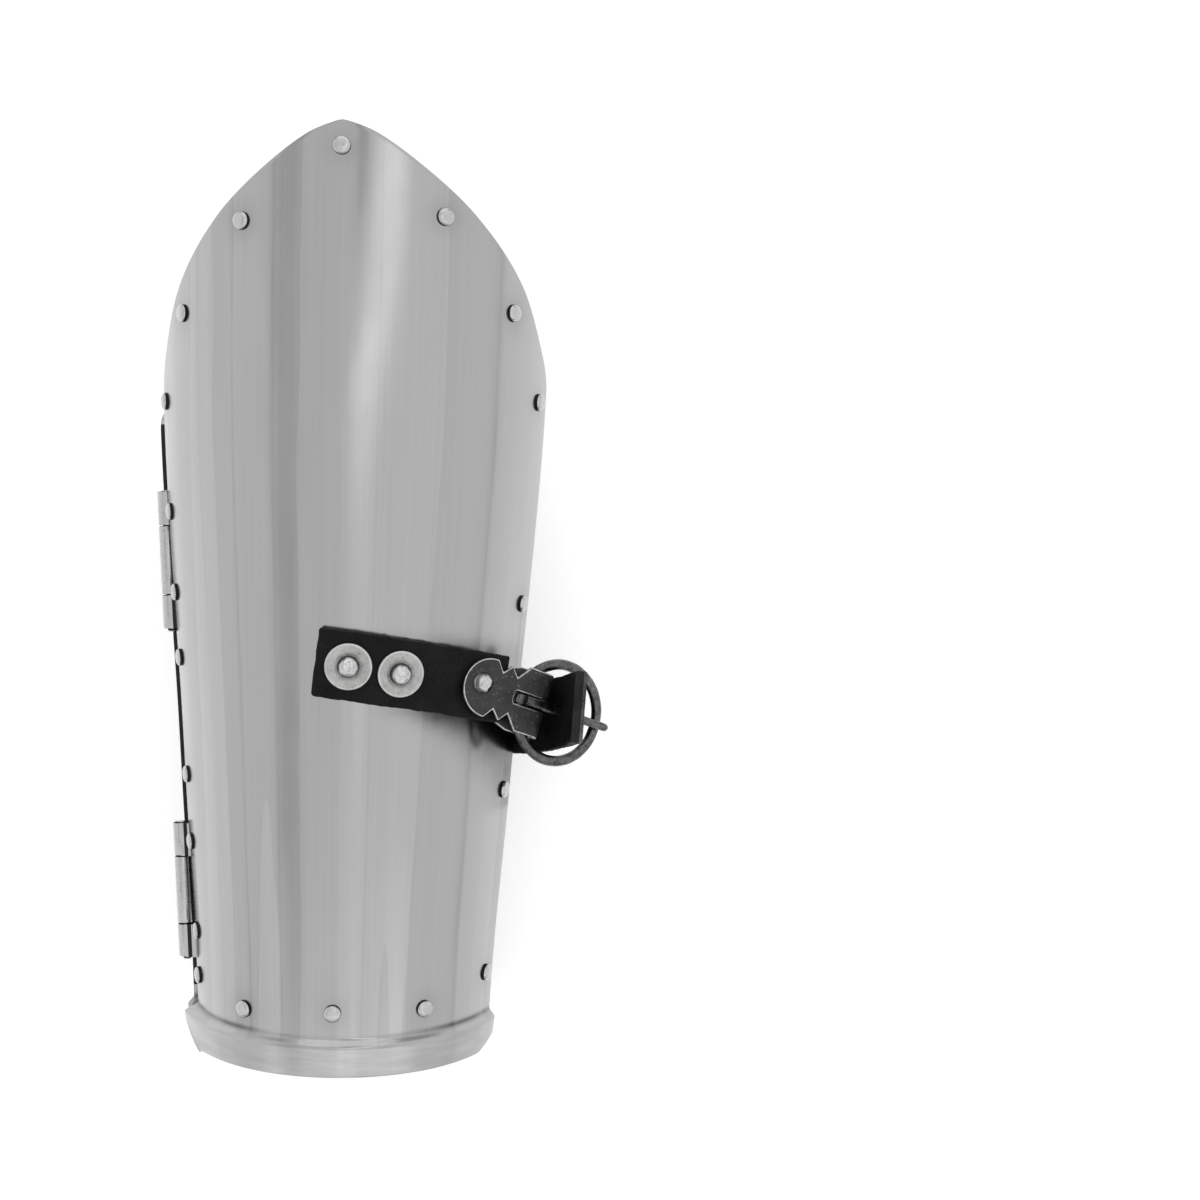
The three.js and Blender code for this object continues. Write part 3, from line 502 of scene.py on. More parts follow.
def spinRound(bm, sides):
    bmesh.ops.spin(bm, geom=bm.verts[:] + bm.edges[:], cent=(0, 0, 0), axis=(0, 0, 1),
                   angle=2 * math.pi, steps=sides, use_merge=True)
    bmesh.ops.remove_doubles(bm, verts=bm.verts[:], dist=0.001)
    bmesh.ops.recalc_face_normals(bm, faces=bm.faces[:])


def turn(profile, sides, closed=False):     # rows of (radius, height), turned about z
    bm = bmesh.new()
    verts = [bm.verts.new((radius, 0, height)) for radius, height in profile]
    for pair in zip(verts, verts[1:] + verts[:1] if closed else verts[1:]):
        bm.edges.new(pair)
    spinRound(bm, sides)
    return bm


def stand(bm, base, normal):
    lean = Vector((0, 0, 1)).rotation_difference(normal).to_matrix().to_4x4()
    bm.transform(Matrix.Translation(base) @ lean)


rivetMake = {"seat": 0.02, "creaseLow": -0.2, "creaseOut": 0.1, "seedStep": 7.3}


def turnRivet(rivet, grip):         # head, shank and an end inside, with painted shade in the crease under the head
    m, shank = rivetMake, rivet["shank"]
    profile = rivet["head"] + [(shank, rivet["head"][-1][1]), (shank, m["seat"] - grip)]
    bm = turn(profile + [(radius, -grip - past) for radius, past in rivet["tail"]], rivet["sides"])
    markFaces(bm, 1, lambda face, middle: (m["creaseLow"] < middle.z < rivet["creaseTop"]
                                           and middle.xy.length > shank + m["creaseOut"]))
    return bm


def dent(bm, seed, rivet):          # small hammer dents in the top of a head
    place = Vector((seed * rivetMake["seedStep"], 0, 0))
    for vert in bm.verts:
        if vert.co.z > rivet["dentOver"]:
            vert.co += vert.normal * rivet["dent"] * noise.noise(vert.co / rivet["dentSize"] + place)


# Rivets of the plates

plateRivet = {
    "head": [(0, 1.4), (0.9, 1.385), (1.5, 1.3), (1.95, 1.12), (2.25, 0.86), (2.38, 0.6), (2.4, 0.42),
             (2.38, 0.02), (2.2, -0.1)],                                # radius, height
    "tail": [(1.95, 0), (1.8135, 0.39), (1.17, 0.65), (0, 0.6825)],     # radius, depth past the wall
    "shank": 1.2, "sides": 44, "creaseTop": 0.55, "dent": 0.07, "dentSize": 1.3, "dentOver": 0.7,
    "elbow": [(27.8, 230.6), (51.6, 207.4), (66.4, 184)], "lean": 1.3, "point": (0, 248.4),
    "side": {"hinge": (111, 77.8, 20), "buckle": (128.6, 75.5, 22.5)},
    "wrist": [(-26.2, 16.2), (0.5, 17.6), (26.4, 17.2)],
    "backInset": 0.885, "backSide": {"hinge": (170, 109, 75, 20), "buckle": (166, 125, 64, 20)},
    "backWrist": (17.2, (-0.45, 0.45)),
}
frontRivets = []        # places that the plates' grime gathers round
backRivets = []


def addRivet(node, plate, place, y, depth, axis=None):
    surface, normalAt, places = ((frontPoint, frontNormal, frontRivets) if plate == "front"
                                 else (backPoint, backNormal, backRivets))
    base = surface(place, y)
    places.append(base)
    bm = turnRivet(plateRivet, depth)
    if axis is None:                # those with an axis stand on the floor
        dent(bm, len(frontRivets) + 3 * len(backRivets), plateRivet)
    stand(bm, base, axis or normalAt(place, y))
    addPiece(node, bm, [rivetSteel, paintedShadeSteel], smoothUnder=50)


def addPlateRivets():
    r = plateRivet
    plateDepth = armShape["steel"]
    leafDepth = plateDepth + hinge["leafClear"] + hinge["leaf"]
    addRivet("rivet_point", "front", *r["point"], plateDepth)
    for i, (around, y) in enumerate(r["elbow"], 1):
        addRivet(f"rivet_elbow_hinge_{i}", "front", -around, y - r["lean"], plateDepth)
        addRivet(f"rivet_elbow_buckle_{i}", "front", around, y + r["lean"], plateDepth)
    for side, sign in (("hinge", -1), ("buckle", 1)):
        for i, y in enumerate(r["side"][side], 1):
            addRivet(f"rivet_{side}_edge_{i}", "front", sign * edgeAround(y), y, plateDepth)
        for i, y in enumerate(r["backSide"][side], 1):
            addRivet(f"rivet_back_{side}_{i}", "back", sign * r["backInset"], y, plateDepth)
    for i, (around, y) in enumerate(r["wrist"], 1):
        addRivet(f"rivet_wrist_{i}", "front", around, y, plateDepth)
    for i, across in enumerate(foot["across"], 1):
        addRivet(f"rivet_back_elbow_{i}", "back", across, foot["y"], plateDepth, tableNormal)
    for i, across in enumerate(r["backWrist"][1], 1):
        addRivet(f"rivet_back_wrist_{i}", "back", across, r["backWrist"][0], plateDepth)
    for name, spot in hinge["places"].items():
        for i, y in enumerate(spot["rivets"], 1):
            addRivet(f"rivet_hinge_{name}_front_{i}", "front", -edgeAround(y), y, leafDepth)
            addRivet(f"rivet_hinge_{name}_back_{i}", "back", -r["backInset"], y, leafDepth)


addPlateRivets()
print("rivets:", len(frontRivets) + len(backRivets))


# The two plates

plateWearAndShade = {
    "rivetReach": 4.5, "rivetGrime": 0.22,
    "grooveGrime": 0.75, "grooveReach": 0.7, "grooveFrom": 12, "grooveFull": 32,
    # strap...: a painted shadow below the strap and a painted reflection of it above, on the plate
    "strapShade": 0.95, "strapAbove": 0.45, "strapFrom": 12, "strapFull": 38, "strapSide": 5,
    "strapNear": 45, "shadeReach": 2.2, "spreadBelow": 1.1, "spreadAbove": 0.3,
    "wave": 0.09, "waveAround": 9, "waveAlong": 130, "waveIn": 12, "waveSeed": 2.7,
}
frontPlate = {
    "columns": 140, "rimRows": 30, "armRows": 74, "elbowRows": 76, "rimTop": 14, "shoulder": 150,
    "outline": [(0, 254.97), (8, 251.7), (21, 243), (36, 231.5),     # around from the point, up the arm
                (54.5, 213.6), (65, 198.6), (71, 189.5), (73, 182)],
    "halfRound": 73, "lean": 2.8, "tipRound": 1.2, "edge": 0.32, "edgeSteps": 3, "markRadius": 50,
}
backPlate = {
    "columns": 130, "rimRows": 30, "armRows": 84, "cornerRows": 12, "rimTop": 14, "edge": 0.32,
    "edgeSteps": 3, "seamDark": 0.5, "markHalf": 70, "markStart": 300, "grimeHalf": 60,
}


def strapShadeAt(point):     # painted shadow below the strap and painted reflection of it above: the plate darkens beside the strap where it stands off it
    w = plateWearAndShade
    if point.x < w["strapSide"] or abs(point.y - strap["startAlong"]) > w["strapNear"]:
        return 0
    distance = min(range(0, strap["length"] + 1), key=lambda d: (strapAt(d)[0] - point).length)
    centre, _, across, normal = strapAt(distance)
    beside = (point - centre).dot(across)
    clear = max((centre - point).dot(normal) - strap["thick"] / 2, 0)
    over = max(abs(beside) - strap["width"] / 2, 0)
    spread, side = (w["spreadBelow"], 1) if beside < 0 else (w["spreadAbove"], w["strapAbove"])
    share = blendSmooth(w["strapFrom"], w["strapFull"], distance)
    return w["strapShade"] * share * side * math.exp(-(over / (w["shadeReach"] + spread * clear)) ** 2)


def grimeAt(point, y, around, rivets):
    w = plateWearAndShade
    grime = w["grooveGrime"] * math.exp(-((y - armShape["groove"]) / w["grooveReach"]) ** 2)
    grime *= blendSmooth(w["grooveFrom"], w["grooveFull"], abs(around))
    for base in rivets:
        gap = (point - base).length
        if gap < 3 * w["rivetReach"]:
            grime += w["rivetGrime"] * math.exp(-(gap / w["rivetReach"]) ** 2)
    return min(grime, 1)


def waveAt(around, y):
    w = plateWearAndShade
    fade = blendSmooth(armShape["groove"], armShape["groove"] + w["waveIn"], y)
    place = Vector((around / w["waveAround"], y / w["waveAlong"], w["waveSeed"]))
    return fade * w["wave"] * noise.noise(place)


def frontShape(across, share):
    f = frontPlate
    straightRows = f["rimRows"] + f["armRows"]
    row = share * (straightRows + f["elbowRows"])
    if row <= straightRows:
        y = (f["rimTop"] * row / f["rimRows"] if row <= f["rimRows"]
             else mix(f["rimTop"], f["shoulder"], (row - f["rimRows"]) / f["armRows"]))
        around = frontHalf(y) * cornerShare(across, y, frontHalf(y))
    else:
        soft = math.hypot(across * f["halfRound"], f["tipRound"]) - f["tipRound"]
        top = readCurve(f["outline"], soft) + f["lean"] * across
        y = mix(f["shoulder"], top, (row - straightRows) / f["elbowRows"])
        around = across * frontHalf(y)
    flare = 1 + armShape["rimFlare"] * max(-across, 0) ** 4
    point = frontPoint(around, y, rimLift(y) * flare + waveAt(around, y))
    # grime round rivets and in the groove, or the painted strap shadow where that is darker
    grime = max(grimeAt(point, y, around, frontRivets), strapShadeAt(point))
    return point, f["markRadius"] * around / frontRadius(y), y, grime


def backShapeAt(across, share):
    b, s = backPlate, backShape
    straightRows = b["rimRows"] + b["armRows"]
    shoulder = s["top"] - s["corner"]
    row = share * (straightRows + b["cornerRows"])
    if row <= b["rimRows"]:
        y = b["rimTop"] * row / b["rimRows"]
    elif row <= straightRows:
        y = mix(b["rimTop"], shoulder, (row - b["rimRows"]) / b["armRows"])
    else:
        y = shoulder + s["corner"] * math.sin((row - straightRows) / b["cornerRows"] * math.pi / 2)
    cut = max(y - shoulder, 0) / s["corner"]
    draw = s["corner"] * (1 - math.sqrt(max(1 - cut * cut, 0))) / s["halfRound"]
    place = cornerShare(across, y, s["halfRound"]) * (1 - draw)
    point = backPoint(place, y, rimLift(y))
    grime = grimeAt(point, y, place * b["grimeHalf"], backRivets)
    return point, place * b["markHalf"] + b["markStart"], y, grime


def addPlates():
    f, b, steel = frontPlate, backPlate, armShape["steel"]
    bm = layWall(f["columns"], f["rimRows"] + f["armRows"] + f["elbowRows"], frontShape, steel)
    roundEdges(bm, f["edge"], f["edgeSteps"])
    addPiece("front_plate", bm, [plateSteel])
    bm = layWall(b["columns"], b["rimRows"] + b["armRows"] + b["cornerRows"], backShapeAt, steel, flip=True)
    roundEdges(bm, b["edge"], b["edgeSteps"])
    seamLow = -backShape["seam"] - b["seamDark"]        # painted shade: the edges in the seam are painted dark
    markFaces(bm, 1, lambda face, middle: middle.y > b["rimTop"] and middle.z > seamLow)
    addPiece("back_plate", bm, [plateSteel, paintedShadeSteel])

# Hinges: leaves inside the plates, knuckles outside the seam, a pin through them

def knuckle(low, high):
    h = hinge
    length = (high - low) / axisWay.y
    outer, edge, ease = h["barrel"], h["edge"], h["edge"] * h["edgeEase"]
    lower = [(h["bore"], 0), (outer - edge, 0), (outer - ease, ease), (outer, edge)]
    profile = lower + [(radius, length - up) for radius, up in reversed(lower)]
    bm = turn(profile, h["sides"], closed=True)
    stand(bm, axisPoint(low), axisWay)
    bm.normal_update()
    markFaces(bm, 1, lambda face, middle: (abs(face.normal.dot(axisWay)) > h["darkEnd"]
                                           or face.normal.x > h["darkSide"]))   # ends and plate side get painted shade
    return bm


def web(low, high, height, inside):         # strip from the barrel in through the seam
    h = hinge

    def shape(across, share):
        y = mix(low, high, share)
        x = mix(axisPoint(y).x, inside(y), (across + 1) / 2)
        return Vector((x, y, height + h["leaf"] / 2)), 0, 0, 0

    def inCrease(face, middle):             # painted shade beside the barrel
        return 0 < middle.x - axisPoint(middle.y).x - h["darkPast"] < h["darkWide"]

    bm = layWall(h["leafColumns"], h["webRows"], shape, h["leaf"])
    markFaces(bm, 1, inCrease)
    return bm


def frontLeaf(low, high):
    h = hinge

    def shape(across, share):
        y = mix(low, high, share)
        around = (across + 1) / 2 * (h["leafReach"] + h["leafLip"]) - frontHalf(y) - h["leafLip"]
        return frontPoint(around, y, -armShape["steel"] - h["leafClear"]), around, y, 0

    return layWall(h["leafColumns"], h["leafRows"], shape, h["leaf"])


def backLeaf(low, high):
    h = hinge

    def shape(across, share):
        y = mix(low, high, share)
        column = (across + 1) / 2 * h["leafColumns"]
        place = max(column - 1, 0) / (h["leafColumns"] - 1) * h["leafShare"] - 1
        point = backPoint(place, y, -armShape["steel"] - h["leafClear"])
        point.z += h["leafLip"] * max(1 - column, 0)
        return point, place * backPlate["markHalf"], y, 0

    return layWall(h["leafColumns"], h["leafRows"], shape, h["leaf"], flip=True)


axisWay = (axisPoint(1) - axisPoint(0)).normalized()


def addHinge(name, middle):
    h = hinge
    low, high = middle - h["length"] / 2, middle + h["length"] / 2
    innerLow, innerHigh = low + h["endKnuckle"], high - h["endKnuckle"]
    sink = armShape["steel"] + h["leafClear"] + h["leaf"] / 2
    webDrop = h["barrel"] - h["leaf"] / 2
    bm = frontLeaf(low, high)
    for start, end in ((low, innerLow - h["knuckleGap"]), (innerHigh + h["knuckleGap"], high)):
        takeIn(bm, knuckle(start, end))
        takeIn(bm, web(start, end, webDrop - h["axisDrop"],
                       lambda y: frontPoint(-frontHalf(y), y, -sink).x))
    addPiece(f"hinge_{name}_front_leaf", bm, [hingeSteel, paintedShadeSteel])
    bm = backLeaf(low, high)
    takeIn(bm, knuckle(innerLow, innerHigh))
    takeIn(bm, web(innerLow, innerHigh, -webDrop - h["axisDrop"], lambda y: backPoint(-1, y, -sink).x))
    addPiece(f"hinge_{name}_back_leaf", bm, [hingeSteel, paintedShadeSteel])
    start = low - h["pinEnd"]
    length = (high + h["pinHead"] - start) / axisWay.y
    lowRound, highRound = h["pinRound"]
    bm = turn([(0, 0), (h["pin"] - lowRound, 0), (h["pin"], lowRound), (h["pin"], length - highRound),
               (h["pin"] - highRound, length), (0, length)], h["sides"])
    stand(bm, axisPoint(start), axisWay)
    markFaces(bm, 1, lambda face, spot: low < spot.y < high)        # painted shade between the knuckles
    addPiece(f"hinge_{name}_pin", bm, [hingeSteel, paintedShadeSteel])


for hingeName, hingeSpot in hinge["places"].items():
    addHinge(hingeName, hingeSpot["middle"])
print("hinges made")


# Strap: lies round the crown, then leaves the plate and runs to the buckle

strap = {
    "thick": 2.4, "width": 18.6, "startAround": -4.6, "startAlong": 114.4, "onPlate": 24, "length": 53,
    "lift": 0.45, "slantStart": math.radians(7), "slantEnd": math.radians(11), "slopeEnd": math.radians(31),
    "coneTilt": math.radians(3.4), "endTilt": math.radians(-4), "step": 0.25, "cutEvery": 4,
    "columns": 150, "rows": 150, "round": 0.6, "cornerRound": 0.8, "endDraw": 0.4,
    "ragged": 0.22, "raggedSize": 1.6, "startSeed": 3, "endSeed": 4, "press": 0.3, "pressReach": 6.6,
    "rivets": (8.7, 22.4), "chape": 45.6,
}


def strapFrame(slope, slant, tilt):
    down = Vector((math.cos(slope), 0, -math.sin(slope)))
    up = Vector((math.sin(slope) * math.sin(tilt), math.cos(tilt), math.cos(slope) * math.sin(tilt)))
    along = down * math.cos(slant) - up * math.sin(slant)
    across = up * math.cos(slant) + down * math.sin(slant)
    return along, across, along.cross(across)


def strapWay(distance):
    s = strap
    radius = frontRadius(s["startAlong"])
    bend = radius + s["thick"] / 2 + s["lift"]
    start = s["startAround"] / radius
    slope = start + min(distance, s["onPlate"]) / bend
    leaving = start + s["onPlate"] / bend
    free = max(distance - s["onPlate"], 0) / (s["length"] - s["onPlate"])
    slant = mix(s["slantStart"], s["slantEnd"], distance / s["length"])
    tilt = mix(s["coneTilt"], s["endTilt"], free)
    return strapFrame(slope + free * (s["slopeEnd"] - leaving), slant, tilt)


def walkStrap():
    s = strap
    centre = frontPoint(s["startAround"], s["startAlong"], s["thick"] / 2 + s["lift"])
    centres = [centre]
    for i in range(math.ceil(s["length"] / s["step"])):
        centre = centre + strapWay(i * s["step"])[0] * s["step"]
        centres.append(centre)
    return centres


strapCentres = walkStrap()


def strapAt(distance):
    along, across, normal = strapWay(distance)
    i = min(max(int(distance / strap["step"]), 0), len(strapCentres) - 1)
    return strapCentres[i] + along * (distance - i * strap["step"]), along, across, normal


def bandSection(share, width, thick, roundness):     # a place round a strip's rounded section
    flat, wall = width - 2 * roundness, thick - 2 * roundness
    arc = math.pi / 2 * roundness
    place = share * (2 * flat + 2 * wall + 4 * arc)
    for side, (length, across) in enumerate(((flat, 1), (wall, -1), (flat, -1), (wall, 1))):
        if place <= length:
            run = place / length - 0.5 if length else 0
            if side % 2 == 0:
                return across * run * flat, across * thick / 2
            return -across * width / 2, across * run * wall
        place -= length
        if place <= arc:
            angle = place / roundness
            cornerX = flat / 2 if side in (0, 1) else -flat / 2
            cornerZ = wall / 2 if side in (0, 3) else -wall / 2
            turned = (math.pi / 2 - angle) - side * math.pi / 2
            return cornerX + roundness * math.cos(turned), cornerZ + roundness * math.sin(turned)
        place -= arc
    return -flat / 2, thick / 2


raggedEdge = {"fine": 0.6, "fineRow": 9.1, "fineSeed": 0.4,
              "coarse": 0.8, "coarseRow": 5.7, "coarseSeed": 8.2, "coarseSize": 4}


def ragged(along, row, depth, size):
    e = raggedEdge
    fine = noise.noise(Vector((along / size, row * e["fineRow"], e["fineSeed"])))
    coarse = noise.noise(Vector((along / size / e["coarseSize"], row * e["coarseRow"], e["coarseSeed"])))
    return depth * (e["fine"] * fine + e["coarse"] * coarse)


def sweepBand(columns, rows, shape):        # a closed strip: the section runs round, the rows run along
    bm = bmesh.new()
    bmesh.ops.create_grid(bm, x_segments=columns, y_segments=rows, size=1)
    for vert in bm.verts:
        vert.co = shape((vert.co.x + 1) / 2, (vert.co.y + 1) / 2)
    bmesh.ops.remove_doubles(bm, verts=bm.verts[:], dist=0.002)
    bmesh.ops.holes_fill(bm, edges=[edge for edge in bm.edges if edge.is_boundary], sides=0)
    bmesh.ops.recalc_face_normals(bm, faces=bm.faces[:])
    return bm


def strapShape(share, run):
    s = strap
    across, height = bandSection(share, s["width"], s["thick"], s["round"])
    side = across / (s["width"] / 2)
    distance = run * s["length"]
    across += side * abs(side) ** 5 * ragged(distance, round(side), s["ragged"], s["raggedSize"])
    into = max(abs(across) - (s["width"] / 2 - s["cornerRound"]), 0) / s["cornerRound"]
    draw = s["cornerRound"] * (1 - math.sqrt(max(1 - min(into, 1) ** 2, 0)))
    start = draw + ragged(across, s["startSeed"], s["ragged"], s["raggedSize"])
    end = s["length"] - draw * s["endDraw"] + ragged(across, s["endSeed"], s["ragged"], s["raggedSize"])
    distance = mix(start, end, run)
    centre, _, sideways, normal = strapAt(distance)
    if height > 0:
        for place in s["rivets"]:
            gap = math.hypot(distance - place, across) / s["pressReach"]
            height -= s["press"] * math.exp(-gap ** 6)
    return centre + sideways * across + normal * height


def markCut(bm, places, limit=0.75):        # cut edges of leather show its fibres
    bm.normal_update()

    def isCut(face, middle):
        normal = min(places, key=lambda place: (place[0] - middle).length)[3]
        return abs(face.normal.dot(normal)) < limit

    markFaces(bm, 1, isCut)


def addStrap():
    s = strap
    bm = sweepBand(s["columns"], s["rows"], strapShape)
    markCut(bm, [strapAt(i * s["step"]) for i in range(0, len(strapCentres), s["cutEvery"])])
    addPiece("strap", bm, [blackLeather, cutLeather], smoothUnder=60)


washer = {
    "radius": 6.3, "thick": 1.0, "hole": 1.9, "holeRise": 0.1, "sides": 64, "sink": 0.28, "seat": 0.38,
    "under": [(0.4, 0), (0.1, 0.12), (0, 0.35)],        # in from the edge, up from the under side
    "top": [(0, 0.3), (0.08, 0.1), (0.3, 0), (0.62, 0.04),      # in from the edge, down from the top
            (0.95, 0.15), (1.6, 0.26), (2.3, 0.33)],
    "well": [(1.5, 0.37), (1.0, 0.4), (0, 0.42)],       # out from the hole, down from the top
    # darkRing, darkReach: painted shade round the rivet; brightRim: a painted highlight on the rim
    "darkRing": 3.2, "darkReach": 0.55, "brightRim": 0.8, "brightFrom": 0.7, "brightFull": 0.3,
}
strapRivet = {
    "head": [(0, 1.71), (0.5, 1.729), (0.9, 1.843), (1.15, 1.9), (1.6, 1.805), (2.1, 1.558), (2.5, 1.178),
             (2.8, 0.722), (2.95, 0.304), (2.95, 0.02), (2.65, -0.12)],
    "tail": [(2.36, 0), (2.065, 0.6), (0, 0.8)],
    "shank": 1.5, "sides": 48, "creaseTop": 0.38, "dent": 0.26, "dentSize": 1.5, "dentOver": 0.57,
    # darkEdge, darkRing, darkReach: where a painted shade ring lies on the dome
    "darkEdge": 2.85, "darkRing": 2.4, "darkReach": 0.35,
}


def addWasher(node, top, normal):
    w = washer
    edge, thick, hole = w["radius"], w["thick"], w["hole"]
    profile = ([(hole, w["holeRise"])] + [(edge - inside, up) for inside, up in w["under"]]
               + [(edge - inside, thick - down) for inside, down in w["top"]]
               + [(hole + outside, thick - down) for outside, down in w["well"]])
    bm = turn(profile, w["sides"], closed=True)
    grime = bm.verts.layers.float.new("grime")
    for vert in bm.verts:
        # painted shade round the rivet, painted highlight on the rim
        reach = vert.co.xy.length
        vert[grime] = math.exp(-((reach - w["darkRing"]) / w["darkReach"]) ** 2)
        vert[grime] -= w["brightRim"] * blendSmooth(edge - w["brightFrom"], edge - w["brightFull"], reach)
    stand(bm, top - normal * w["sink"], normal)
    addPiece(node, bm, [washerSteel], smoothUnder=50)


def addDomedRivet(node, seat, normal, grip, seed, rim, darkRing):
    bm = turnRivet(strapRivet, grip)
    grime = bm.verts.layers.float.new("grime")
    # painted shade: a dark ring painted round the dome at darkRing
    for vert in bm.verts:
        vert[grime] = math.exp(-((vert.co.xy.length - darkRing) / strapRivet["darkReach"]) ** 2)
    dent(bm, seed, strapRivet)
    stand(bm, seat, normal)
    addPiece(node, bm, [domeSteel, rim], smoothUnder=50)


def fastenLeather(name, i, top, normal, plateDepth):
    addWasher(f"{name}_washer_{i}", top, normal)
    height = washer["thick"] - washer["sink"] - washer["seat"]
    grip = plateDepth + strap["thick"] + height
    addDomedRivet(f"{name}_rivet_{i}", top + normal * height, normal, grip, i + len(name), paintedShadeSteel,
                  strapRivet["darkEdge"])


def fastenStrap():
    for i, distance in enumerate(strap["rivets"], 1):
        centre, _, _, normal = strapAt(distance)
        top = centre + normal * strap["thick"] / 2
        fastenLeather("strap", i, top, normal, armShape["steel"] + strap["lift"])


addStrap()
fastenStrap()
print("strap made")
addPlates()
print("plates made")


# Buckle: the chape folded round the ring, its rivet, the ring and the prong

chape = {
    "outline": [(2.3, 8.1), (4.5, 5.3), (6.9, 7.8), (9.2, 5.2), (12.5, 9.1)],   # along, half width
    "lobe": 1.9, "rivet": (-0.8, 0.6), "rivetSeed": 11, "loopHalf": 9.1, "thick": 1.1, "halfGap": 2.15,
    "foldCentre": 18, "slotStart": 9.7, "slotHalf": 1.75, "slotRound": 0.5, "slope": math.radians(30),
    "slant": math.radians(19), "underRadius": 5, "underSteps": 16, "arcSteps": 30, "foldSteps": 12,
    "edge": 0.34, "edgeSteps": 2,
}
ring = {"centreline": 13.5, "wire": 1.5, "flat": 0.9, "pivot": 16.5, "centre": 9.9,
        "slope": math.radians(35), "sides": 18, "turns": 96, "uneven": 0.12, "unevenSize": 3.5}
prong = {
    "half": 1.35, "thick": 0.9, "loopGap": 0.3, "loopInside": 0.2, "loopOutside": (0.25, 0.3), "past": 0.7,
    "rootHeight": 3.2, "tipHeight": 3.25, "sides": 20, "loopSides": 32, "rows": 24, "bow": 0.35,
    "taper": 0.86, "tipLength": 1.2,
    "tip": [(0.78, 0.75), (0.55, 0.3), (0.25, 0.06)],       # share of its width, back from its end
}

chapeRoot = strapAt(strap["chape"])[0]
chapeAxes = strapFrame(chape["slope"], chape["slant"], strap["endTilt"])
ringAxes = strapFrame(ring["slope"], chape["slant"], strap["endTilt"])
ringCentre = chapeRoot + chapeAxes[0] * ring["pivot"] + ringAxes[0] * ring["centre"]


def inFrame(axes, origin):
    return Matrix.Translation(origin) @ Matrix(axes).transposed().to_4x4()


def arcPoints(middle, radius, start, end, steps):
    angles = [mix(start, end, i / steps) for i in range(steps + 1)]
    return [(middle + radius * math.cos(angle), radius * math.sin(angle)) for angle in angles]


def addChape():
    c = chape
    top = c["halfGap"] + c["thick"]
    fold, half, slot = c["foldCentre"], c["loopHalf"], c["slotHalf"]
    reach, width = c["outline"][0][0] - c["lobe"], c["outline"][0][1]
    start = math.atan2(width, reach)
    lobe = arcPoints(c["lobe"], math.hypot(reach, width), start, 2 * math.pi - start, c["arcSteps"])
    lower = [(along, -out) for along, out in c["outline"][1:]]
    upper = [(along, out) for along, out in reversed(c["outline"][1:])]
    slotEnd = [(c["slotStart"] + c["slotRound"], -slot), (c["slotStart"], c["slotRound"] - slot),
               (c["slotStart"], slot - c["slotRound"]), (c["slotStart"] + c["slotRound"], slot)]
    bm = bmesh.new()

    def points(places, height):
        return [bm.verts.new((x, y, height)) for x, y in places]

    arc, sideLow, sideHigh = points(lobe, top), points(lower, top), points(upper, top)
    tongueLow = points([(fold, -half), (fold, -slot)], top)
    tongueHigh = points([(fold, slot), (fold, half)], top)
    bm.faces.new(arc + sideLow + tongueLow + points(slotEnd, top) + tongueHigh + sideHigh)
    tongues = [bm.edges.get(tongueLow), bm.edges.get(tongueHigh)]
    last = bmesh.ops.spin(bm, geom=tongueLow + tongueHigh + tongues, cent=(fold, 0, 0), axis=(0, 1, 0),
                          angle=math.pi, steps=c["foldSteps"])["geom_last"]
    under = sorted((v for v in last if isinstance(v, bmesh.types.BMVert)), key=lambda v: v.co.y)
    shoulder = c["outline"][-1][0]
    underArc = points(arcPoints(0, c["underRadius"], math.pi / 2, 1.5 * math.pi, c["underSteps"]), -top)
    sides = points([(shoulder, half), (shoulder, -half)], -top)
    bm.faces.new(under[:2] + points(slotEnd, -top) + under[2:] + sides[:1] + underArc + sides[1:])
    bmesh.ops.recalc_face_normals(bm, faces=bm.faces[:])
    bm.normal_update()
    bm.faces.ensure_lookup_table()
    if bm.faces[0].normal.z < 0:
        bmesh.ops.reverse_faces(bm, faces=bm.faces[:])
    bmesh.ops.solidify(bm, geom=bm.faces[:], thickness=c["thick"])
    for face in roundEdges(bm, c["edge"], c["edgeSteps"]):
        face.material_index = 1
    bm.transform(inFrame(chapeAxes, chapeRoot))
    addPiece("buckle_chape", bm, [blackenedSteel, wornEdge], smoothUnder=30)
    seat = inFrame(chapeAxes, chapeRoot) @ Vector((*c["rivet"], top))
    addDomedRivet("buckle_rivet", seat, chapeAxes[2], 2 * top, c["rivetSeed"], rivetSteel,
                  strapRivet["darkRing"])


def addRing():
    g = ring
    bm = bmesh.new()
    made = bmesh.ops.create_circle(bm, segments=g["sides"], radius=g["wire"])
    stood = Matrix.Translation((g["centreline"], 0, 0)) @ Matrix.Rotation(math.pi / 2, 4, "X")
    bmesh.ops.transform(bm, matrix=stood @ Matrix.Diagonal((1, g["flat"], 1, 1)), verts=made["verts"])
    spinRound(bm, g["turns"])
    bm.normal_update()
    for vert in bm.verts:
        vert.co += vert.normal * g["uneven"] * noise.noise(vert.co / g["unevenSize"])
    bm.transform(inFrame(ringAxes, ringCentre))
    addPiece("buckle_ring", bm, [ringSteel], smoothUnder=60)


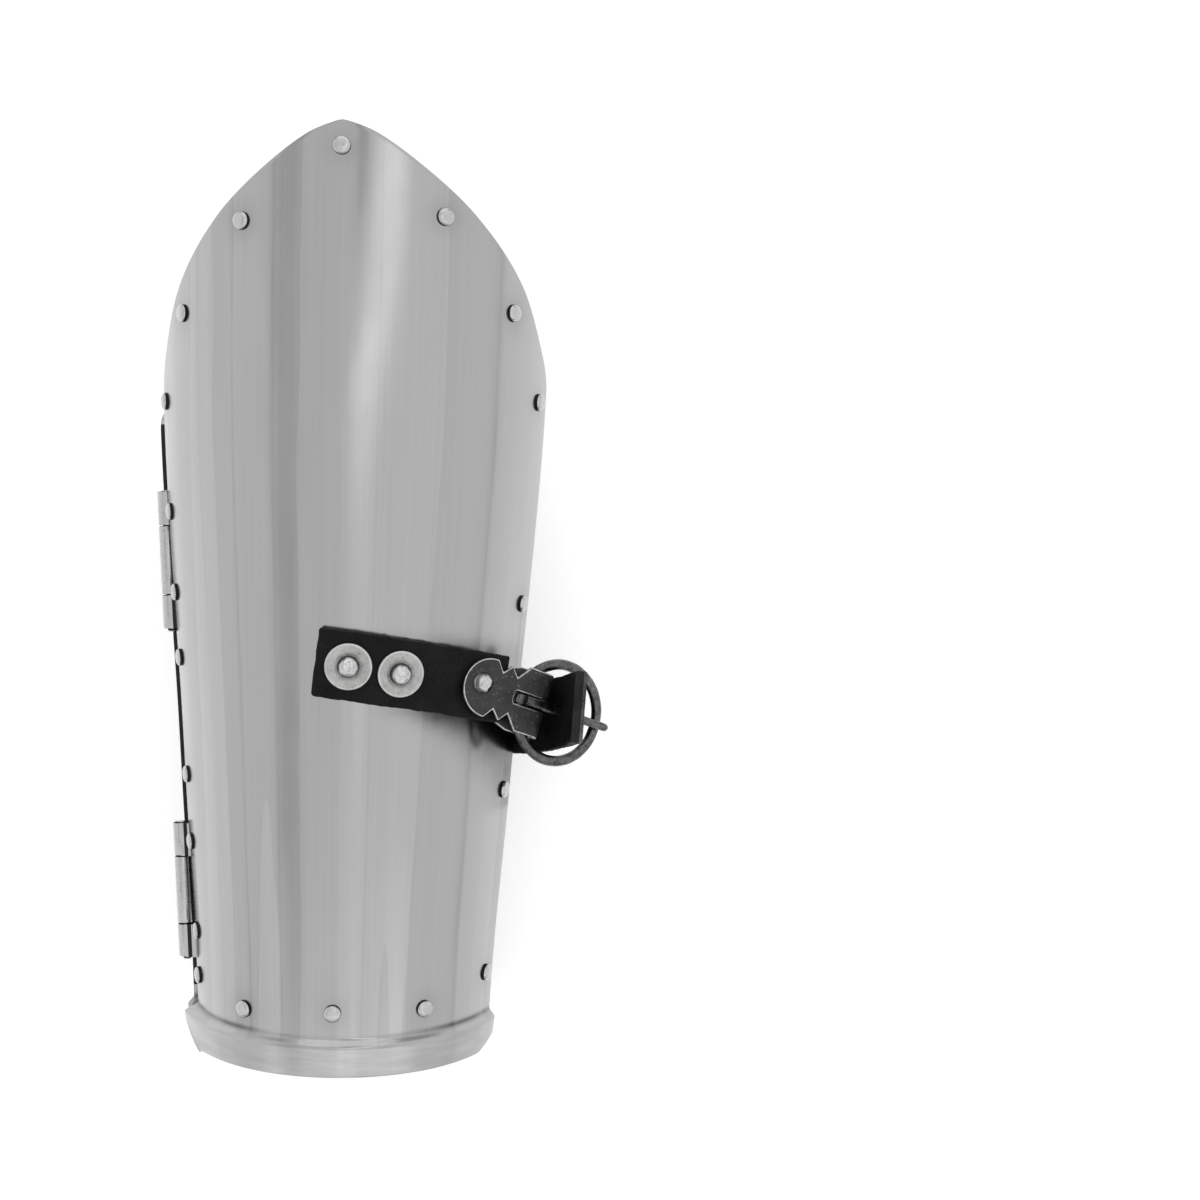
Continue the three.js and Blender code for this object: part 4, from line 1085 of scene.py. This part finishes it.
def addProng():
    p = prong
    half, rows = p["half"], p["rows"]
    inner = ring["wire"] + p["loopGap"]
    outer = inner + p["thick"]
    inward, back = p["loopOutside"]
    lower = [(inner, p["loopInside"] - half), (outer - inward, -half), (outer, back - half)]
    upper = [(radius, -height) for radius, height in reversed(lower)]
    bm = turn(lower + upper, p["loopSides"], closed=True)
    stand(bm, Vector((-ring["centreline"], 0, 0)), Vector((0, 1, 0)))
    start = Vector((-ring["centreline"], 0, p["rootHeight"]))
    end = Vector((ring["centreline"] + ring["wire"] + p["past"], 0, p["tipHeight"]))
    length = (end - start).length
    shaft = [(half * mix(1, p["taper"], i / rows), (length - p["tipLength"]) * i / rows)
             for i in range(rows + 1)]
    tip = [(half * share, length - short) for share, short in p["tip"]]
    arm = turn([(0, 0), *shaft, *tip, (0, length)], p["sides"])
    for vert in arm.verts:
        vert.co.x += p["bow"] * math.sin(math.pi * vert.co.z / length)
    stand(arm, start, (end - start).normalized())
    takeIn(bm, arm)
    bm.transform(inFrame(ringAxes, ringCentre))
    addPiece("buckle_prong", bm, [ringSteel], smoothUnder=50)


addChape()
addRing()
addProng()
print("buckle made")


# Billet: from the back plate up past the edges and through the ring

billet = {
    "width": 19.8, "lift": 0.6, "endLean": 0.135, "columns": 140, "rows": 170, "round": 0.5,
    "swell": 1.0, "swellFrom": 0.86, "wornBack": 0.9, "paleOver": 0.75, "step": 0.002, "cutPlaces": 60,
    "ragged": 0.2, "raggedSize": 1.7, "raggedLength": 100, "raggedFrom": 0.9, "sideSeed": 6, "endSeed": 12,
    "onPlate": [(0.47, 90.4), (0.58, 91), (0.7, 91.6), (0.82, 92.4), (0.92, 93.2)],     # across, up the arm
    "free": [(49.5, 94.4, -4.5), (52.2, 95.6, 1.8), (56.2, 97.2, 8), (60.2, 99, 14), (63.4, 100.8, 20),
             (65.3, 102.3, 26)],
    "rivets": [(0.58, 90.9), (0.8, 92.2)],
}


def smoothThrough(points, share):           # curve through points that doesn't overshoot close ones
    last = len(points) - 1
    i = min(int(share * last), last - 1)
    t = share * last - i
    p1, p2 = points[i], points[i + 1]
    p0 = points[i - 1] if i > 0 else 2 * p1 - p2
    p3 = points[i + 2] if i + 2 <= last else 2 * p2 - p1
    d0, d1, d2 = ((b - a).length ** 0.5 or 1.0 for a, b in ((p0, p1), (p1, p2), (p2, p3)))
    leave = ((p1 - p0) / d0 - (p2 - p0) / (d0 + d1) + (p2 - p1) / d1) * d1
    arrive = ((p2 - p1) / d1 - (p3 - p1) / (d1 + d2) + (p3 - p2) / d2) * d1
    bend = t * t * (3 - 2 * t)
    return p1.lerp(p2, bend) + leave * t * (1 - t) ** 2 + arrive * t * t * (t - 1)


def billetLines():
    middle = strap["thick"] / 2 + billet["lift"]
    points = [backPoint(across, y, middle) for across, y in billet["onPlate"]]
    armward = [backPoint(across, y + 1) - backPoint(across, y) for across, y in billet["onPlate"]]
    points += [Vector(place) for place in billet["free"]]
    last = len(billet["free"]) - 1
    armward += [Vector((billet["endLean"] * i / last, 1, 0)) for i in range(last + 1)]
    return points, armward


billetPoints, billetArmward = billetLines()


def billetAt(share):
    low, high = max(share - billet["step"], 0), min(share + billet["step"], 1)
    along = (smoothThrough(billetPoints, high) - smoothThrough(billetPoints, low)).normalized()
    across = smoothThrough(billetArmward, share)
    across = (across - along * across.dot(along)).normalized()
    return smoothThrough(billetPoints, share), along, across, along.cross(across)


def billetShape(share, run):
    b = billet
    thick = strap["thick"] + b["swell"] * blendSmooth(b["swellFrom"], 1, run)
    across, height = bandSection(share, b["width"], thick, b["round"])
    side = across / (b["width"] / 2)
    wander = ragged(run * b["raggedLength"], round(side) + b["sideSeed"], b["ragged"], b["raggedSize"])
    across += side * abs(side) ** 5 * wander
    centre, along, sideways, normal = billetAt(run)
    end = ragged(across, b["endSeed"], b["ragged"], b["raggedSize"]) * blendSmooth(b["raggedFrom"], 1, run)
    return centre + sideways * across + normal * height + along * end


def addBillet():
    b = billet
    bm = sweepBand(b["columns"], b["rows"], billetShape)
    end, along, _, normal = billetAt(1)
    outer = normal if normal.x > 0 else -normal
    cap = max(bm.faces, key=lambda face: (len(face.verts) > 4, face.calc_center_median().dot(along)))
    bmesh.ops.bisect_plane(bm, geom=[cap] + cap.edges[:] + cap.verts[:], dist=0.0001,
                           plane_co=end + outer * b["paleOver"], plane_no=outer)
    markCut(bm, [billetAt(i / b["cutPlaces"]) for i in range(b["cutPlaces"] + 1)])

    def isPale(face, middle):               # the outer edge of its cut end
        fromEnd = middle - end
        return fromEnd.dot(along) > -b["wornBack"] and fromEnd.dot(outer) > b["paleOver"]

    markFaces(bm, 2, isPale)
    addPiece("billet", bm, [blackLeather, cutLeather, paleLeather], smoothUnder=60)
    for i, (across, y) in enumerate(b["rivets"], 1):
        top = backPoint(across, y, b["lift"] + strap["thick"])
        fastenLeather("billet", i, top, backNormal(across, y), armShape["steel"] + b["lift"])


addBillet()
print("billet made")


# Floor, light and camera

# floorGlow and glow...: the floor itself glows in a pool, brightest round glowMiddle: painted light
stage = {"floorHalf": 6.0, "floorDrop": 0.05, "floorTone": (0.95, 0.95, 0.952), "floorRough": 0.9,
         "patches": (3, 3, 3), "patchTone": 0.99, "floorGlow": 0.33, "glowMiddle": (-0.1, 0, 0),
         "glowFull": 0.15, "glowEnd": 0.38, "glowLeast": 0.45, "skyTone": (1, 1, 1), "sky": 0.5}
# Lamps: name, degrees from overhead to the buckle side and the wrist, turn, width, length, brightness
lamps = [
    ("topStrip", 6, 27, 0, 140, 880, 0.42),
    ("topStripElbow", 14.5, -8, -48, 140, 430, 0.62),
    ("leftInner", -13, 0, 0, 460, 1600, 0.42),
    ("leftGap", -36.5, 0, 0, 200, 1600, 0.18),
    ("leftOuter", -69.5, 0, 0, 750, 1600, 0.5),
    ("rightBox", 49, 0, 0, 1400, 1600, 0.5),
    ("wristBox", 0, 52, 0, 1500, 560, 0.3),
    ("elbowBox", 2, -63, 0, 900, 640, 0.7),
]
lampAim = {"target": (-9, 0, 40), "distance": 800}
photoCamera = {"place": (58.06, 164.11, 513.41), "back": (-0.0248, 0.0665, 0.9975),
               "up": (-0.0259, 0.9974, -0.0672), "fieldOfView": 2 * math.atan(1 / 3),
               "near": 0.01, "far": 50}


def addFloor():
    bm = bmesh.new()
    bmesh.ops.create_grid(bm, x_segments=2, y_segments=2, size=stage["floorHalf"])
    bmesh.ops.translate(bm, verts=bm.verts[:], vec=(0, 0, -stage["floorDrop"] * mm))
    mesh = bpy.data.meshes.new("floor")
    bm.to_mesh(mesh)
    bm.free()
    material, tree, shader, place = startMaterial("floorPaper", 0.0, "Object")
    pale = stage["floorTone"]
    tone = addNoise(tree, place, stage["patches"], 2.0)
    feed(shader, "Base Color", addTint(tree, tone, [c * stage["patchTone"] for c in pale], pale))
    shader.inputs["Roughness"].default_value = stage["floorRough"]
    values = {0: place, 1: stage["glowMiddle"]}
    away = addNode(tree, "ShaderNodeVectorMath", values, operation="DISTANCE").outputs["Value"]
    # painted light: the floor glows, brightest in a pool round glowMiddle
    glow = addRange(tree, away, stage["glowFull"], stage["glowEnd"], 1, stage["glowLeast"])
    feed(shader, "Emission Color", addTint(tree, glow, (0, 0, 0), pale))
    shader.inputs["Emission Strength"].default_value = stage["floorGlow"]
    mesh.materials.append(material)
    floor = bpy.data.objects.new("floor", mesh)
    scene.collection.objects.link(floor)


def addLamp(name, sideDegrees, wristDegrees, turnDegrees, width, length, bright):
    light = bpy.data.lights.new(name, "AREA")
    light.shape = "RECTANGLE"
    light.size, light.size_y = width * mm, length * mm
    light.energy = math.pi * light.size * light.size_y * bright
    lamp = bpy.data.objects.new(name, light)
    aim = Matrix.Rotation(math.radians(sideDegrees), 3, "Y")
    aim = aim @ Matrix.Rotation(math.radians(wristDegrees), 3, "X")
    lamp.rotation_euler = (aim @ Matrix.Rotation(math.radians(turnDegrees), 3, "Z")).to_euler()
    lamp.location = (Vector(lampAim["target"]) + aim @ Vector((0, 0, lampAim["distance"]))) * mm
    lamp.visible_camera = False
    scene.collection.objects.link(lamp)


def addCamera():
    lens = bpy.data.cameras.new("photoCamera")
    lens.sensor_fit = "HORIZONTAL"
    lens.angle = photoCamera["fieldOfView"]
    lens.clip_start, lens.clip_end = photoCamera["near"], photoCamera["far"]
    camera = bpy.data.objects.new("photoCamera", lens)
    turned = Matrix.Rotation(pitch, 3, "X")
    back = (turned @ Vector(photoCamera["back"])).normalized()
    up = turned @ Vector(photoCamera["up"])
    up = (up - back * up.dot(back)).normalized()
    camera.rotation_euler = Matrix((up.cross(back), up, back)).transposed().to_euler()
    camera.location = toWorld @ Vector(photoCamera["place"])
    scene.collection.objects.link(camera)
    scene.camera = camera


def addSky():
    world = bpy.data.worlds.new("studio")
    scene.world = world
    world.use_nodes = True
    background = world.node_tree.nodes["Background"]
    background.inputs["Color"].default_value = (*stage["skyTone"], 1)
    background.inputs["Strength"].default_value = stage["sky"]


addFloor()
addSky()
for lampLine in lamps:
    addLamp(*lampLine)
addCamera()
scene.view_settings.view_transform = "Standard"
print("stage set")
